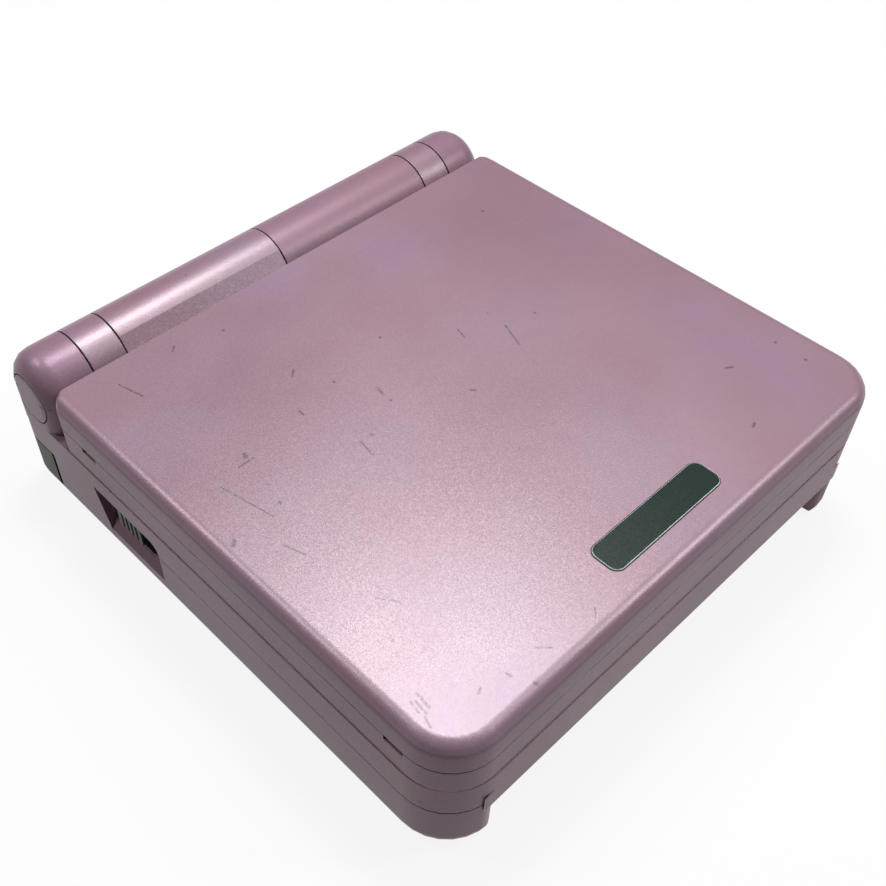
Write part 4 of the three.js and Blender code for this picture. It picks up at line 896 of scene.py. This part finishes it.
class CONSOLE_OT_sliders(bpy.types.Operator):
    """Dresses the volume slider, the power switch and the status lights"""

    bl_idname = "console.sliders"
    bl_label = "Sliders and lights"

    def execute(self, context):
        dress("volume_slider", "volume_thumb", "volume_knob", "dark_plastic", "dark_moulded")
        dress("power_switch", "power_thumb", "power_knob", "dark_plastic", "dark_moulded")
        for number in (1, 2):
            repaint(f"status_light_{number}", "pipe_clear")
        return {"FINISHED"}


class CONSOLE_OT_screen(bpy.types.Operator):
    """Dresses the screen lens, the light guide and the display, and prints the lens border"""

    bl_idname = "console.screen"
    bl_label = "Screen"

    def execute(self, context):
        dress("screen_lens", "lens_pane", "lid", "lens_glass", "lens_clear")
        repaint("light_guide", "guide_clear")
        dress("lcd_panel", "display", "lid", "panel_glass", "panel_dark")
        self.print_border()
        return {"FINISHED"}

    def print_border(self):
        """A black frame printed on the lens's inner face, round the visible display."""
        low, high = (Vector(corner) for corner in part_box("screen_lens"))
        middle = (low + high) / 2
        outer = (high - low) / 2 - Vector((BORDER_INSET, BORDER_INSET, 0))
        inner = outer - Vector((BORDER_WIDTH, BORDER_WIDTH, 0))
        corners = ((-1, -1), (1, -1), (1, 1), (-1, 1))
        top = high.z + PRINT_LIFT
        points = [(middle.x + x * half.x, middle.y + y * half.y, top)
                  for half in (outer, inner) for x, y in corners]
        faces = [(i, (i + 1) % 4, 4 + (i + 1) % 4, 4 + i) for i in range(4)]
        made = bpy.data.meshes.new("lens_border")
        made.from_pydata(points, [], faces)
        made.materials.append(finish("border_black"))
        border = bpy.data.objects.new("lens_border", made)
        bpy.context.scene.collection.objects.link(border)
        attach(border, "lid")


class CONSOLE_OT_fasteners(bpy.types.Operator):
    """Finishes the screws and dresses the covers over them"""

    bl_idname = "console.fasteners"
    bl_label = "Fasteners"

    def execute(self, context):
        for number in range(1, 7):
            repaint(f"base_screw_{number}", "steel_turned")
        for number in range(1, 5):
            repaint(f"lid_screw_{number}", "steel_turned")
            dress(f"screw_cover_{number}", f"cover_dot_{number}", "lid", "silicone", "silicone_soft")
        repaint("battery_cover_screw", "steel_turned")
        return {"FINISHED"}


class CONSOLE_OT_inside(bpy.types.Operator):
    """Finishes the board, the battery, the sockets and the speaker"""

    bl_idname = "console.inside"
    bl_label = "Inside"

    def execute(self, context):
        repaint("main_board", "board_green")
        dress("battery_pack", "battery_block", "base", "battery_wrap", "wrap_sleeve")
        for name in ("card_connector", "speaker"):
            repaint(name, "dark_moulded")
        for name in ("link_port", "charge_port"):
            repaint(name, "steel_turned")
        return {"FINISHED"}


OPERATORS = (
    CONSOLE_OT_stage,
    CONSOLE_OT_lid,
    CONSOLE_OT_case,
    CONSOLE_OT_hinge,
    CONSOLE_OT_nameplate,
    CONSOLE_OT_shoulders,
    CONSOLE_OT_keys,
    CONSOLE_OT_sliders,
    CONSOLE_OT_screen,
    CONSOLE_OT_fasteners,
    CONSOLE_OT_inside,
)


class CONSOLE_PT_sidebar(bpy.types.Panel):
    """Lists the console's pieces in the sidebar"""

    bl_idname = "CONSOLE_PT_sidebar"
    bl_label = "Folding console"
    bl_space_type = "VIEW_3D"
    bl_region_type = "UI"
    bl_category = "Console"

    def draw(self, context):
        column = self.layout.column(align=True)
        for operator in OPERATORS:
            column.operator(operator.bl_idname)
        for group in (context.scene.console_sizes, context.scene.console_colours,
                      context.scene.console_stage):
            for key in group.__annotations__:
                self.layout.prop(group, key)


GROUPS = {
    "console_sizes": ConsoleSizes,
    "console_colours": ConsoleColours,
    "console_stage": ConsoleStage,
}


def register():
    for one in (*GROUPS.values(), *OPERATORS, CONSOLE_PT_sidebar):
        bpy.utils.register_class(one)
    for key, group in GROUPS.items():
        setattr(bpy.types.Scene, key, bpy.props.PointerProperty(type=group))


def unregister():
    for key in GROUPS:
        delattr(bpy.types.Scene, key)
    for one in (CONSOLE_PT_sidebar, *reversed(OPERATORS), *GROUPS.values()):
        bpy.utils.unregister_class(one)


def make_effects():
    for make in (make_soft_edges, make_pearl_flakes, make_hairlines, make_scuff,
                 make_handling, make_mould_grain):
        make()


def main():
    register()
    make_effects()
    for operator in OPERATORS:
        family, _, name = operator.bl_idname.partition(".")
        getattr(getattr(bpy.ops, family), name)()


if __name__ == "__main__":
    main()
